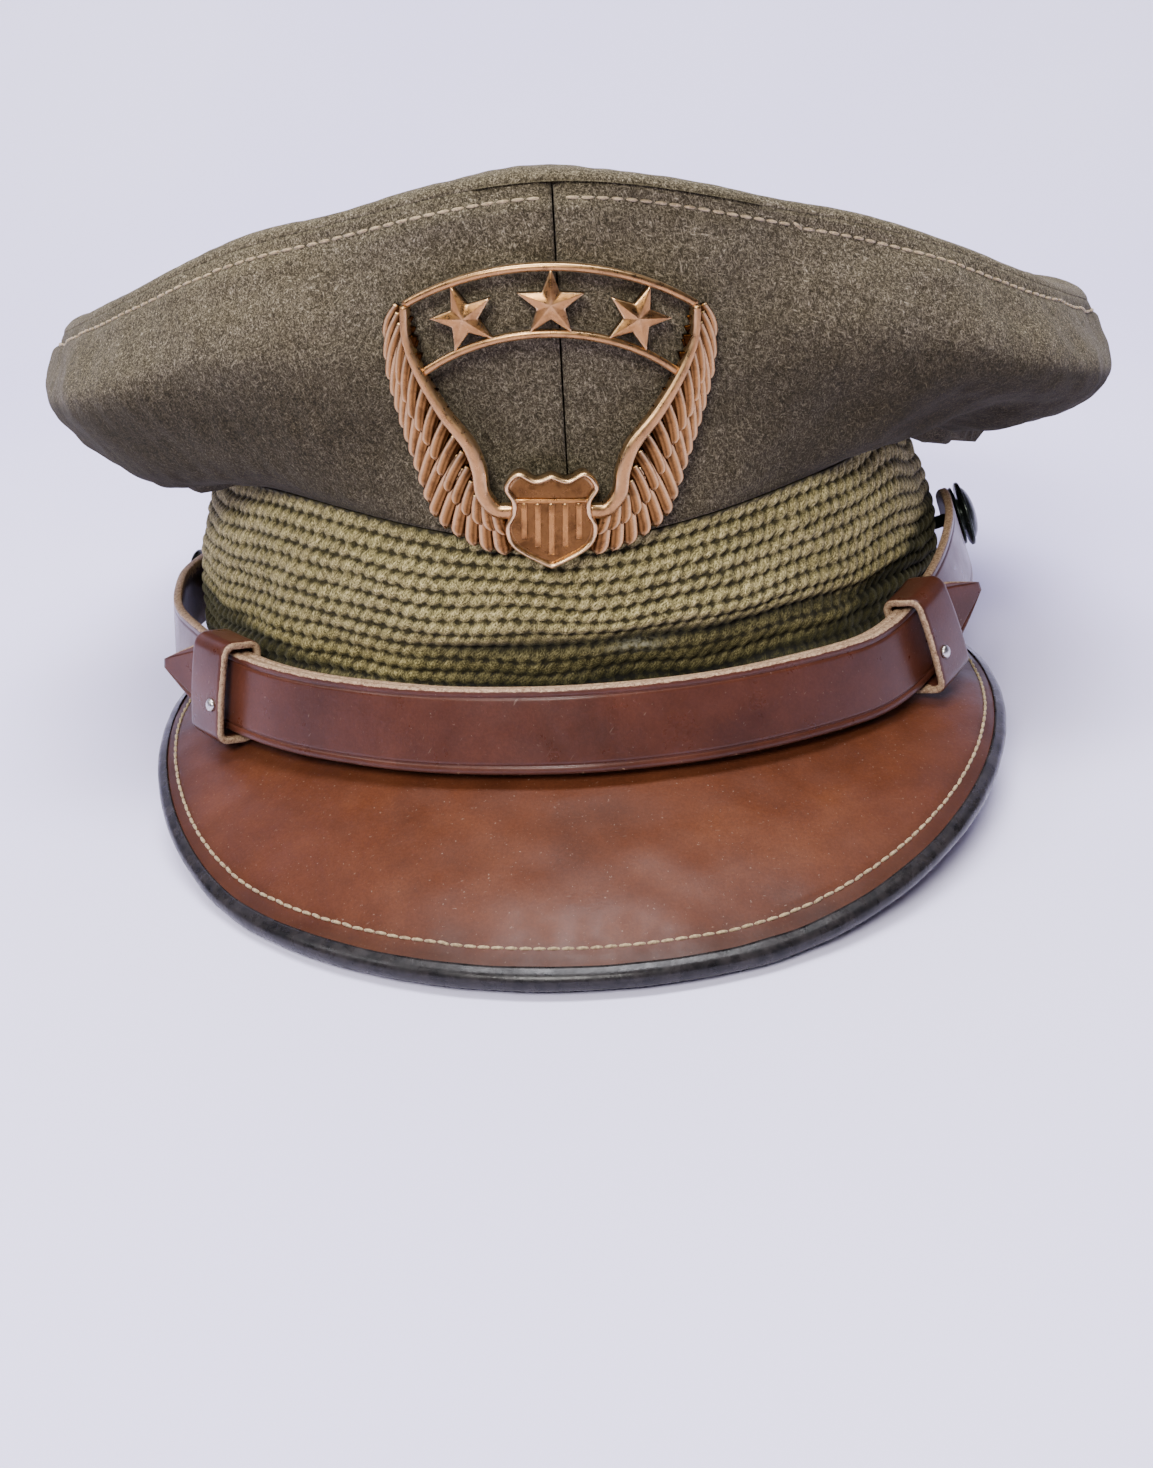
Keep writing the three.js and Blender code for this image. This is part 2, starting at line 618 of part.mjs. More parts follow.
// The outer layer ends in points that stick out past the keepers.
function outerStrapFrames() {
  const steps = 44;
  const keeperHalf = KEEPER_LENGTH / 2 + 1;
  const degreesPerMm = 180 / Math.PI / BAND_BOTTOM_HALF_LENGTH;
  const straight = KEEPER_ANGLE + keeperHalf * degreesPerMm;
  const frames = Array.from({ length: steps + 1 }, (_, j) => strapFrame(((2 * j) / steps - 1) * straight));
  const tip = (frame, before) => {
    const ahead = frame.origin.clone().sub(before.origin).normalize();
    ahead.addScaledVector(frame.out, Math.tan(rad(STRAP_TIP_SPLAY))).normalize();
    return [0.34, 0.67, 1].map((share) => ({
      ...frame,
      origin: frame.origin.clone().addScaledVector(ahead, share * STRAP_TIP_LENGTH),
      taper: 1 - 0.88 * share,
    }));
  };
  const left = tip(frames[0], frames[1]).reverse();
  const right = tip(frames[steps], frames[steps - 1]);
  return [...left, ...frames, ...right];
}

function outerStrapGeometry() {
  const frames = outerStrapFrames();
  const section = (i) => {
    const half = (STRAP_WIDTH / 2) * (frames[i].taper ?? 1);
    return [
      [-half, LAYER_STEP],
      [half, LAYER_STEP],
      [half, LAYER_STEP + STRAP_LEATHER],
      [-half, LAYER_STEP + STRAP_LEATHER],
    ];
  };
  return sweepGeometry(frames, section);
}

// A loop of leather round both layers, slack in front.
function keeperGeometry(side, hole) {
  const degreesPerMm = 180 / Math.PI / BAND_BOTTOM_HALF_LENGTH;
  const half = (KEEPER_LENGTH / 2) * degreesPerMm;
  const frames = [-1, -0.5, 0, 0.5, 1].map((s) => strapFrame(side * KEEPER_ANGLE + s * half));
  const high = STRAP_WIDTH / 2 + KEEPER_MARGIN;
  const back = -GAP - 0.1;
  const front = LAYER_STEP + STRAP_LEATHER + KEEPER_SLACK;
  const loop = (grow, chamfer) => [
    [-high - grow + chamfer, back - grow],
    [high + grow - chamfer, back - grow],
    [high + grow, back - grow + chamfer],
    [high + grow, front + grow - 2 * chamfer],
    [high + grow - 2 * chamfer, front + grow],
    [-high - grow + 2 * chamfer, front + grow],
    [-high - grow, front + grow - 2 * chamfer],
    [-high - grow, back - grow + chamfer],
  ];
  const outer = loop(KEEPER_LEATHER, 0.9);
  const inner = loop(0, 0.4);
  return cut(sweepGeometry(frames, () => outer, () => inner), hole);
}

// The rivet is low on the keeper's front, its shank through the panel.
function rivetSeat(side) {
  const frame = strapFrame(side * KEEPER_ANGLE);
  const face = LAYER_STEP + STRAP_LEATHER + KEEPER_SLACK + KEEPER_LEATHER;
  const forward = frame.out.clone().cross(frame.across).multiplyScalar(side);
  const base = frame.origin
    .clone()
    .addScaledVector(frame.across, -0.16 * STRAP_WIDTH)
    .addScaledVector(forward, RIVET_FORWARD)
    .addScaledVector(frame.out, face);
  return { base, out: frame.out };
}

const RIVET_SHANK_RADIUS = 0.55 * RIVET_RADIUS;

function rivetHole(side) {
  const { base, out } = rivetSeat(side);
  const from = base.clone().addScaledVector(out, -KEEPER_LEATHER - 1);
  return rod(from, base.clone().addScaledVector(out, 1), RIVET_SHANK_RADIUS + GAP, 8);
}

function rivetGeometry(side) {
  const { base, out } = rivetSeat(side);
  const profile = [
    [0, -KEEPER_LEATHER],
    [RIVET_SHANK_RADIUS, -KEEPER_LEATHER],
    [RIVET_SHANK_RADIUS, GAP],
    [RIVET_RADIUS, GAP],
    [0.8 * RIVET_RADIUS, GAP + 0.75 * RIVET_DOME],
    [0, GAP + RIVET_DOME],
  ];
  return turned(profile, 10, base, out);
}

// The button stands off the strap's end on a shank that reaches the band.
function buttonSeat(side) {
  const { buttonAngle, buttonRise } = strapSide(side);
  const frame = strapFrame(side * buttonAngle);
  const base = frame.origin.clone().addScaledVector(frame.out, STRAP_LEATHER + GAP);
  const swell = bandSwell(side * buttonAngle, buttonRise);
  const reach = strapStandoff(buttonAngle) - swell + STRAP_LEATHER;
  return { base, out: frame.out, reach };
}

function buttonHole(side) {
  const { base, out, reach } = buttonSeat(side);
  const from = base.clone().addScaledVector(out, -reach);
  return rod(from, base.clone().addScaledVector(out, 2), BUTTON_SHANK_RADIUS + GAP, 10);
}

function buttonGeometry(side) {
  const { base, out, reach } = buttonSeat(side);
  const rim = 1.1;
  const back = 0.8;
  const neck = 0.7;
  const profile = [
    [0, -reach + GAP],
    [BUTTON_SHANK_RADIUS, -reach + GAP],
    [BUTTON_SHANK_RADIUS, 0],
    [0.86 * BUTTON_RADIUS, 0.1],
    [0.9 * BUTTON_RADIUS, back],
    [0.5 * BUTTON_RADIUS, back + 0.2],
    [0.5 * BUTTON_RADIUS, back + neck],
    [BUTTON_RADIUS, back + neck + 0.2],
    [BUTTON_RADIUS, back + neck + rim],
    [0.84 * BUTTON_RADIUS, back + neck + rim],
    [0.6 * BUTTON_RADIUS, back + neck + 0.8 * BUTTON_DOME],
    [0, back + neck + BUTTON_DOME],
  ];
  return turned(profile, 18, base, out);
}

// The badge is drawn flat, x across and y up, with its back at z = 0, and bent afterwards.
function flatSolid(outline, heightAt) {
  const count = outline.length;
  const points = [
    ...outline.map(([x, y]) => vec(x, y, 0)),
    ...outline.map(([x, y]) => vec(x, y, heightAt(x, y))),
  ];
  const triangles = [];
  for (const [a, b, c] of flatTriangles(outline)) {
    triangles.push([a, c, b], [count + a, count + b, count + c]);
  }
  for (let i = 0; i < count; i += 1) {
    const j = (i + 1) % count;
    triangles.push([i, j, count + j], [i, count + j, count + i]);
  }
  return closedGeometry(points, triangles);
}

// Outlines of the left wing as seen from the front: the thick leading edge, and the curves where the
// feathers start and where they end.
const WING_EDGE = [
  [-27.6, 21.6],
  [-27.4, 15.5],
  [-25, 9],
  [-20.5, 1.5],
  [-15.8, -4.5],
  [-13.9, -9.5],
  [-13.2, -14.2],
  [-10.6, -17.4],
  [-7.5, -17.6],
];
const FEATHER_ROOTS = [
  [-26.6, 12],
  [-23, 5],
  [-18, -3.5],
  [-15.6, -9.5],
  [-14.6, -15],
  [-11, -19],
  [-8, -19.5],
];
const FEATHER_TIPS = [
  [-29.6, 20],
  [-31.2, 12.5],
  [-30, 2.5],
  [-27, -6],
  [-25, -14],
  [-21.5, -22],
  [-14.5, -26.2],
  [-8.6, -26.6],
];
const WING_EDGE_WIDTH = 2.3;
const LONG_FEATHERS = 11;
const SHORT_FEATHERS = 6;

function planCurve(points) {
  return new THREE.CatmullRomCurve3(points.map(([x, y]) => vec(x, y, 0)));
}

// A feather from root to tip: a pointed oval whose top slopes across its width.
function featherGeometry(root, tip, width, height) {
  const along = tip.clone().sub(root);
  const side = vec(-along.y, along.x, 0).normalize();
  const stations = [
    [0, 0.5],
    [0.35, 0.5],
    [0.75, 0.5],
    [0.93, 0.3],
  ];
  const edge = (sign) =>
    stations.map(([s, w]) => {
      const p = root.clone().addScaledVector(along, s).addScaledVector(side, sign * w * width);
      return [p.x, p.y];
    });
  const outline = [...edge(-1), [tip.x, tip.y], ...edge(1).reverse()];
  const slope = BADGE_RELIEF / width;
  return flatSolid(outline, (x, y) => {
    const across = (x - root.x) * side.x + (y - root.y) * side.y;
    return height - slope * 0.6 * across;
  });
}

function wingGeometries() {
  const roots = planCurve(FEATHER_ROOTS);
  const tips = planCurve(FEATHER_TIPS);
  const pieces = [];
  for (let i = 0; i < LONG_FEATHERS; i += 1) {
    const t = (i + 0.35) / LONG_FEATHERS;
    const width = THREE.MathUtils.lerp(3.4, 4.4, smooth(t));
    pieces.push(featherGeometry(roots.getPoint(t), tips.getPoint(t), width, BADGE_PLATE));
  }
  for (let i = 0; i < SHORT_FEATHERS; i += 1) {
    const t = 0.2 + (0.74 * i) / (SHORT_FEATHERS - 1);
    const root = roots.getPoint(t);
    const tip = root.clone().lerp(tips.getPoint(t), 0.52);
    pieces.push(featherGeometry(root, tip, 3.6, BADGE_PLATE + 0.55));
  }
  pieces.push(ribbonGeometry(planCurve(WING_EDGE), 16, WING_EDGE_WIDTH, BADGE_PLATE + BADGE_RELIEF));
  return pieces;
}

// A bar of even width along a curve in the badge's plane, its top a little crowned.
function ribbonGeometry(curve, steps, width, height) {
  const frames = Array.from({ length: steps + 1 }, (_, j) => {
    const t = j / steps;
    const along = curve.getTangent(t);
    return { origin: curve.getPoint(t), across: vec(-along.y, along.x, 0), out: vec(0, 0, 1) };
  });
  const section = [
    [-width / 2, 0],
    [width / 2, 0],
    [width / 2, 0.7 * height],
    [0, height],
    [-width / 2, 0.7 * height],
  ];
  return sweepGeometry(frames, () => section);
}

const ARCH_HALF_WIDTH = 27.6;
const ARCH_FOOT = 21.8;
const ARCH_TOP = 29.6;
const ARCH_DEPTH = 12.4;
const ARCH_BAR = 1.5;
const STAR_SINK = 0.5;

// The arch is two bars along arcs, joined by three plain stars.
function archCurve(lowered) {
  const rise = ARCH_TOP - ARCH_FOOT;
  const radius = (ARCH_HALF_WIDTH ** 2 + rise ** 2) / (2 * rise);
  const middle = ARCH_TOP - radius;
  const inner = radius - lowered;
  const reach = Math.asin(ARCH_HALF_WIDTH / radius) * (lowered ? 1.17 : 1);
  return {
    at: (share) => vec(inner * Math.sin(share * reach), middle + inner * Math.cos(share * reach), 0),
    turnAt: (share) => share * reach,
  };
}

function arcRibbon(arc, steps, width, height) {
  const curve = new THREE.CatmullRomCurve3(
    Array.from({ length: steps + 1 }, (_, j) => arc.at((2 * j) / steps - 1)),
  );
  return ribbonGeometry(curve, steps, width, height);
}

function starGeometry(middle, turn, radius, height) {
  const outline = Array.from({ length: 10 }, (_, k) => {
    const a = turn + (k * Math.PI) / 5;
    const r = k % 2 ? 0.42 * radius : radius;
    return [middle.x + r * Math.sin(a), middle.y + r * Math.cos(a)];
  });
  return flatSolid(outline, () => height);
}

function archGeometries() {
  const upper = archCurve(0);
  const lower = archCurve(ARCH_DEPTH);
  const starRadius = (ARCH_DEPTH - ARCH_BAR + 2 * STAR_SINK) / (1 + Math.cos(Math.PI / 5));
  const between = archCurve(ARCH_BAR / 2 - STAR_SINK + starRadius);
  const stars = [-0.56, 0, 0.56].map((share) =>
    starGeometry(between.at(share), between.turnAt(share), starRadius, BADGE_PLATE + 0.7),
  );
  return [
    arcRibbon(upper, 12, ARCH_BAR, BADGE_PLATE + 0.6),
    arcRibbon(lower, 12, ARCH_BAR, BADGE_PLATE + 0.4),
    ...stars,
  ];
}

// Half of the shield's outline, as shares of its half width and half height, from the top's middle
// down its left side to its point.
const SHIELD_OUTLINE = [
  [0, 0.84],
  [-0.36, 0.74],
  [-0.74, 0.88],
  [-1, 0.62],
  [-0.84, 0.34],
  [-0.84, 0.08],
  [-0.98, -0.2],
  [-0.9, -0.5],
  [-0.62, -0.72],
  [0, -1],
];

function shieldOutline(shrink) {
  const left = SHIELD_OUTLINE.map(([x, y]) => [
    SHIELD_MIDDLE.x + x * (SHIELD_HALF_WIDTH - shrink),
    SHIELD_MIDDLE.y + y * (SHIELD_HALF_HEIGHT - shrink),
  ]);
  const right = left.slice(1, -1).map(([x, y]) => [2 * SHIELD_MIDDLE.x - x, y]);
  return [...left, ...right.reverse()];
}

// The shield: a raised rim round a field, with a plain bar across it and three upright stripes.
function shieldGeometries() {
  const field = BADGE_PLATE + 1;
  const rim = cut(
    flatSolid(shieldOutline(0), () => field + 0.9),
    flatSolid(shieldOutline(1.1), () => field + 2).translate(0, 0, 0.4),
  );
  const stripe = (x, low, high, width) => {
    const w = width / 2;
    const y = SHIELD_MIDDLE.y;
    const corners = [
      [x - w, y + low],
      [x + w, y + low],
      [x + w, y + high],
      [x - w, y + high],
    ];
    return flatSolid(corners, () => field + 0.5);
  };
  return [
    flatSolid(shieldOutline(0.6), () => field),
    rim,
    stripe(0, 2.4, 3.4, 2 * SHIELD_HALF_WIDTH * 0.84 - 1.6),
    stripe(-4.2, -4.6, 2.6, 1.4),
    stripe(0, -7, 2.6, 1.4),
    stripe(4.2, -4.6, 2.6, 1.4),
  ];
}

function bend(geometry) {
  const position = geometry.getAttribute("position");
  for (let i = 0; i < position.count; i += 1) {
    const turn = (position.getX(i) * BADGE_SCALE) / BADGE_BEND_RADIUS;
    const radius = BADGE_BEND_RADIUS + position.getZ(i);
    position.setX(i, radius * Math.sin(turn));
    position.setY(i, position.getY(i) * BADGE_SCALE);
    position.setZ(i, radius * Math.cos(turn) - BADGE_BEND_RADIUS);
  }
  return geometry;
}

function mirrored(geometry) {
  const copy = geometry.clone().scale(-1, 1, 1);
  const index = copy.index.array;
  for (let i = 0; i < index.length; i += 3) [index[i + 1], index[i + 2]] = [index[i + 2], index[i + 1]];
  return copy;
}

function badgeGeometry() {
  const wing = join(wingGeometries());
  const whole = join([wing, mirrored(wing), ...archGeometries(), ...shieldGeometries()]);
  return bend(whole).applyMatrix4(badgePlacement());
}

// A plain screw from the badge's back through the crown's front, with a round nut inside.
function screwGeometry() {
  const { start, out } = screwAxis();
  const wallFace = BADGE_STANDOFF + CLOTH + 1.6;
  const profile = [
    [0, -wallFace - SCREW_NUT_THICKNESS],
    [SCREW_NUT_RADIUS, -wallFace - SCREW_NUT_THICKNESS],
    [SCREW_NUT_RADIUS, -wallFace],
    [SCREW_RADIUS, -wallFace],
    [SCREW_RADIUS, -GAP],
    [0, -GAP],
  ];
  return turned(profile, 16, start, out);
}

// A black eyelet in the crown's underside.
function ventSeat() {
  const point = crownSidePoint(VENT_ANGLE, VENT_SHARE);
  const raised = offSurface(crownSidePoint, VENT_ANGLE, VENT_SHARE, 1, 0.01, vec(0, 0, -1), 1);
  return { point, out: raised.sub(point).normalize() };
}

function ventGeometry() {
  const { point, out } = ventSeat();
  const bore = 0.5 * VENT_RADIUS;
  const profile = [
    [bore, -CLOTH],
    [bore + 0.5, -CLOTH],
    [bore + 0.5, GAP],
    [VENT_RADIUS, GAP],
    [VENT_RADIUS - 0.3, GAP + 0.5],
    [bore, GAP + 0.6],
    [bore, -CLOTH],
  ];
  return turned(profile, 12, point, out);
}

function ventHole() {
  const { point, out } = ventSeat();
  const from = point.clone().addScaledVector(out, -2 * CLOTH);
  return rod(from, point.clone().addScaledVector(out, CLOTH), 0.5 * VENT_RADIUS + 0.5 + GAP, 12);
}

// How far the cap leans back when it rests on a piece at its front and on the band's back.
function restLean(front) {
  const position = front.getAttribute("position");
  const slopes = Array.from({ length: position.count }, (_, i) =>
    Math.atan2(-position.getZ(i), BAND_BOTTOM_HALF_LENGTH - position.getY(i)),
  );
  return Math.max(...slopes);
}

function material(color, roughness, metalness) {
  return new THREE.MeshStandardMaterial({ color, roughness, metalness });
}

const wool = material(0x5d5844, 0.95, 0);
const braid = material(0x6f6a3f, 0.9, 0);
const peakLeather = material(0x6b3a22, 0.4, 0);
const strapLeather = material(0x66352a, 0.4, 0);
const blackEdge = material(0x221f21, 0.35, 0);
const darkMetal = material(0x20221f, 0.35, 0.8);
const bronze = material(0xa8743f, 0.35, 0.9);
const steel = material(0x8d857c, 0.35, 0.8);

function piece(name, geometry, look) {
  const mesh = new THREE.Mesh(geometry, look);
  mesh.name = name;
  return mesh;
}

const binding = bindingGeometry();
const cap = new THREE.Group();
cap.add(
  piece("crown_top", crownTopGeometry(), wool),
  piece("crown_side_right", crownSideGeometry(-1), wool),
  piece("crown_side_left", cut(crownSideGeometry(1), ventHole()), wool),
  piece("band", bandGeometry(), braid),
  piece("peak", peakGeometry(), peakLeather),
  piece("peak_binding", binding, blackEdge),
  piece("strap_inner", innerStrapGeometry([buttonHole(-1), buttonHole(1)]), strapLeather),
  piece("strap_outer", outerStrapGeometry(), strapLeather),
  piece("badge", badgeGeometry(), bronze),
  piece("badge_screw", screwGeometry(), steel),
  piece("vent_eyelet", ventGeometry(), darkMetal),
);
for (const [word, side] of [
  ["right", -1],
  ["left", 1],
]) {
  cap.add(
    piece("keeper_" + word, keeperGeometry(side, rivetHole(side)), strapLeather),
    piece("rivet_" + word, rivetGeometry(side), steel),
    piece("button_" + word, buttonGeometry(side), darkMetal),
  );
}

// Leaned back about the foot of the band's back until the peak's edge is level with it, then centred
// over the origin and set down on z = 0.
const part = new THREE.Group();
part.add(cap);
cap.rotation.x = -restLean(binding);
cap.updateMatrixWorld(true);
const bounds = new THREE.Box3().setFromObject(cap, true);
const middle = bounds.getCenter(vec(0, 0, 0));
cap.position.set(-middle.x, -middle.y, -bounds.min.z);
export default part;
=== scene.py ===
import math

import bmesh
import bpy
import numpy as np
from mathutils import Matrix


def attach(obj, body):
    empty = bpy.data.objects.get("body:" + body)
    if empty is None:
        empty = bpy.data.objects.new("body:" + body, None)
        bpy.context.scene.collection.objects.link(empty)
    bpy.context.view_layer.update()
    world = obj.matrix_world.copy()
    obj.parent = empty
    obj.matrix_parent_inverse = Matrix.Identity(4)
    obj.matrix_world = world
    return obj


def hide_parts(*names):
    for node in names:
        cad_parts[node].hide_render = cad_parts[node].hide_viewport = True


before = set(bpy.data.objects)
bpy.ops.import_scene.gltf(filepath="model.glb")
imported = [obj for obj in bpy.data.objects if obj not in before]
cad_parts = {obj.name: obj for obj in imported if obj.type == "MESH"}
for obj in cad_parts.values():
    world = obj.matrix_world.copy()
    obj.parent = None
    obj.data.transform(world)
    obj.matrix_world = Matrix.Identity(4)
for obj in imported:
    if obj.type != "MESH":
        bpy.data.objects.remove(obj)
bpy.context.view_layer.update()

# A peaked cap in fine detail. Lengths are millimetres in the cap's own frame, +X the wearer's left,
# -Y the front and +Z up, with the origin at the middle of the head opening. Angles go round the head
# oval from the front in degrees, positive towards +X.

# How the cap rests: leaned back about X, then moved.
LEAN = math.radians(-7.080934)
PLACE = np.array([-4.64856, 5.592383, 13.066753])

# The band and the head oval
BOTTOM_HALF_WIDTH = 88
BOTTOM_HALF_LENGTH = 106
TOP_HALF_WIDTH = 81
TOP_HALF_LENGTH = 102
BAND_HEIGHT = 46
BAND_FRONT_DIP = 8
BAND_DIP_SPAN = 50
BAND_WALL = 3
BAND_FOLD_DEPTH = 3.2
BAND_FOLD_SPAN = 62
BAND_FOLD_CENTRE = 8
BAND_BULGE = 2.7
BRAID_ROWS = 15
BRAID_LUMPS = 184
BRAID_RELIEF = 1.2
BRAID_SLANT = 0.55
FOLD_ANGLE = 57
FOLD_SPAN = 7
FOLD_LIFT = 5

# The crown
CLOTH = 2
CROWN_OVERHANG = 46
CROWN_RISE = 65
CROWN_PUFF = 7
CROWN_MIDDLE_RISE = 44
SEAM_GAP = 0.3
TOPSTITCH_IN = 2.3

# The peak and its bound edge
PEAK_HALF_WIDTH = 90
PEAK_REACH = 48
PEAK_WIDEST_BACK = 58
PEAK_WALL = 3
PEAK_ROOT_SPAN = 74
PEAK_EDGE_SPAN = 112
PEAK_DROP = 26
PEAK_END_DROP = 1.6
PEAK_CAMBER = 3
PEAK_FLAT_LEFT = 0.14
PEAK_FLAT_RIGHT = 0.4
BINDING_WIDTH = 2.4
BINDING_HEIGHT = 5
BINDING_LAP = 1.4

# The strap, its keepers, rivets and buttons
STRAP_WIDTH = 16.4
STRAP_LEATHER = 1.8
STRAP_END = 5
STRAP_LAYER_GAP = 0.4
STRAP_LEAN = 8
STRAP_FOOT = 0.8
STRAP_STANDOFF = 7
LAYER_STEP = STRAP_LEATHER + STRAP_LAYER_GAP
KEEPER_ANGLE = 47
KEEPER_LENGTH = 11
KEEPER_LEATHER = 1.5
KEEPER_SLACK = 2.2
KEEPER_MARGIN = 1.2
STRAP_TIP_LENGTH = 13.5
STRAP_TIP_SPLAY = 14
RIVET_RADIUS = 1.4
RIVET_FORWARD = 3
BUTTON_RADIUS = 7.6
BUTTON_DOME = 3.4
BUTTON_SHANK_RADIUS = 1.5

# The badge
BADGE_BEND_RADIUS = 82
BADGE_PLATE = 1.4
BADGE_RELIEF = 1.1
BADGE_STANDOFF = 2.4
BADGE_RISE = 62
BADGE_SHIFT = -2.5
BADGE_TURN = 3
BADGE_SCALE = 0.95

VENT_ANGLE = 76
VENT_SHARE = 0.34
VENT_RADIUS = 2.6
GAP = 0.3

# Sections of the crown's side by angle: how far out and up its belly, bulge and seam are.
CROWN_SECTIONS = np.array([
    [0.39, 0.02, 0.83, 0.26, 0.7, 0.49],
    [0.41, 0, 0.83, 0.25, 0.72, 0.48],
    [0.4, -0.02, 0.83, 0.23, 0.72, 0.46],
    [0.41, 0, 0.8, 0.23, 0.72, 0.45],
    [0.35, 0.02, 0.72, 0.29, 0.59, 0.55],
    [0.11, 0.18, 0.28, 0.49, 0.26, 0.82],
    [0.07, 0.31, 0.15, 0.65, 0.2, 1],
    [0.11, 0.18, 0.28, 0.48, 0.3, 0.79],
    [0.41, 0.02, 0.87, 0.22, 0.74, 0.48],
    [0.48, -0.03, 1, 0.11, 0.93, 0.37],
    [0.46, -0.03, 0.93, 0.17, 0.8, 0.4],
    [0.41, -0.02, 0.85, 0.23, 0.72, 0.45],
])
BAND_FOLDS = [(0, 0.9), (0.14, 0.6), (0.28, -1), (0.46, 0.1), (0.72, 0.5), (1, 0)]
STRAP_SIDES = {1: (34, 79, 0.5, 16), -1: (10, 96, 0.26, 4)}
STRAP_ROWS = [(0, 1), (25, 1), (45, 1.22), (62, 1.3), (80, 0.9), (100, 0.52)]

UP = np.array([0.0, 0.0, 1.0])
DEGREES_PER_MM = 180 / math.pi / BOTTOM_HALF_LENGTH


def smooth(t):
    t = np.clip(t, 0, 1)
    return t * t * (3 - 2 * t)


def bell(away, width):
    """1 where away is nothing, fading to both sides over the width."""
    return np.exp(-((away / width) ** 2))


def lerp(a, b, t):
    return a + (b - a) * t


def unit(v):
    return v / np.maximum(np.linalg.norm(v, axis=-1, keepdims=True), 1e-12)


def vec(x, y, z):
    x, y, z = np.broadcast_arrays(np.asarray(x, float), np.asarray(y, float), np.asarray(z, float))
    return np.stack([x, y, z], -1)


def catmull(a, b, c, d, t):
    linear = (c - a) * t
    square = (2 * a - 5 * b + 4 * c - d) * t ** 2
    cube = (3 * b - a - 3 * c + d) * t ** 3
    return 0.5 * (2 * b + linear + square + cube)


def crown_column(k, angle):
    count = len(CROWN_SECTIONS)
    place = (angle + 180) / 360 * count
    first = np.floor(place).astype(int)
    at = [CROWN_SECTIONS[(first + step) % count, k] for step in (-1, 0, 1, 2)]
    return catmull(*at, place - first)


def table_column(rows, value):
    keys = np.array([row[0] for row in rows], float)
    data = np.array([row[1] for row in rows], float)
    last = len(rows) - 1
    held = np.clip(value, keys[0], keys[last])
    i = np.clip(np.searchsorted(keys, held, side="left") - 1, 0, last - 1)
    t = (held - keys[i]) / (keys[i + 1] - keys[i])
    at = [data[np.clip(i + step, 0, last)] for step in (-1, 0, 1, 2)]
    return catmull(*at, t)


def band_top(angle):
    return BAND_HEIGHT - BAND_FRONT_DIP * smooth(1 - np.abs(angle) / BAND_DIP_SPAN)


def outward(angle):
    a = np.radians(angle)
    return unit(vec(np.sin(a) / TOP_HALF_WIDTH, -np.cos(a) / TOP_HALF_LENGTH, 0))


def oval_point(angle, rise, out=0.0):
    a = np.radians(angle)
    w = lerp(BOTTOM_HALF_WIDTH, TOP_HALF_WIDTH, rise)
    long = lerp(BOTTOM_HALF_LENGTH, TOP_HALF_LENGTH, rise)
    point = vec(w * np.sin(a), -long * np.cos(a), rise * band_top(angle))
    return point + outward(angle) * np.asarray(out)[..., None]


def band_swell(angle, rise):
    near = smooth(1 - np.abs(angle - BAND_FOLD_CENTRE) / BAND_FOLD_SPAN)
    fold = BAND_FOLD_DEPTH * table_column(BAND_FOLDS, rise)
    return lerp(BAND_BULGE * np.sin(np.pi * rise), fold, near)


def centripetal(points, share):
    """A centripetal Catmull-Rom curve through four flat points of each row, at a share of it."""
    first = points[:, 0] * 2 - points[:, 1]
    last = points[:, 3] * 2 - points[:, 2]
    chain = np.concatenate([first[:, None], points, last[:, None]], 1)
    place = np.clip(share, 0, 1) * 3
    i = np.minimum(np.floor(place).astype(int), 2)
    t = (place - i)[:, None]
    rows = np.arange(len(points))
    p0, p1, p2, p3 = (chain[rows, i + step] for step in range(4))
    d0, d1, d2 = (
        np.sqrt(np.maximum(np.linalg.norm(b - a, axis=1), 1e-9))[:, None]
        for a, b in ((p0, p1), (p1, p2), (p2, p3))
    )
    t1 = ((p1 - p0) / d0 - (p2 - p0) / (d0 + d1) + (p2 - p1) / d1) * d1
    t2 = ((p2 - p1) / d1 - (p3 - p1) / (d1 + d2) + (p3 - p2) / d2) * d1
    return p1 + t1 * t + (-3 * p1 + 3 * p2 - 2 * t1 - t2) * t ** 2 + (2 * p1 - 2 * p2 + t1 + t2) * t ** 3


def crown_side(angle, share):
    angle, share = np.broadcast_arrays(np.asarray(angle, float), np.asarray(share, float))
    shape = angle.shape
    a = angle.ravel()
    columns = [crown_column(k, a) for k in range(6)]
    out = np.stack([a * 0] + [columns[k] * CROWN_OVERHANG for k in (0, 2, 4)], 1)
    up = np.stack([a * 0] + [columns[k] * CROWN_RISE for k in (1, 3, 5)], 1)
    p = centripetal(np.stack([out, up], 2), share.ravel())
    point = oval_point(a, 1.0, p[:, 0]) + UP * (p[:, 1] + GAP)[:, None]
    return point.reshape(shape + (3,))


def seam_direction(angle):
    return unit(crown_side(angle, 1.0) - crown_side(angle, 0.97))


def crown_top(angle, share):
    angle, share = np.broadcast_arrays(np.asarray(angle, float), np.asarray(share, float))
    along = seam_direction(angle)
    middle = np.array([0, 0, BAND_HEIGHT + CROWN_MIDDLE_RISE], float)
    start = crown_side(angle, np.ones_like(angle)) + along * SEAM_GAP
    lift = start + along * CROWN_PUFF
    slack = lerp(start, middle, 0.45)
    slack[..., 2] = lerp(start[..., 2], middle[2], 0.6)
    t = share[..., None]
    ends = start * (1 - t) ** 3 + middle * t ** 3
    return ends + 3 * lift * t * (1 - t) ** 2 + 3 * slack * t ** 2 * (1 - t)


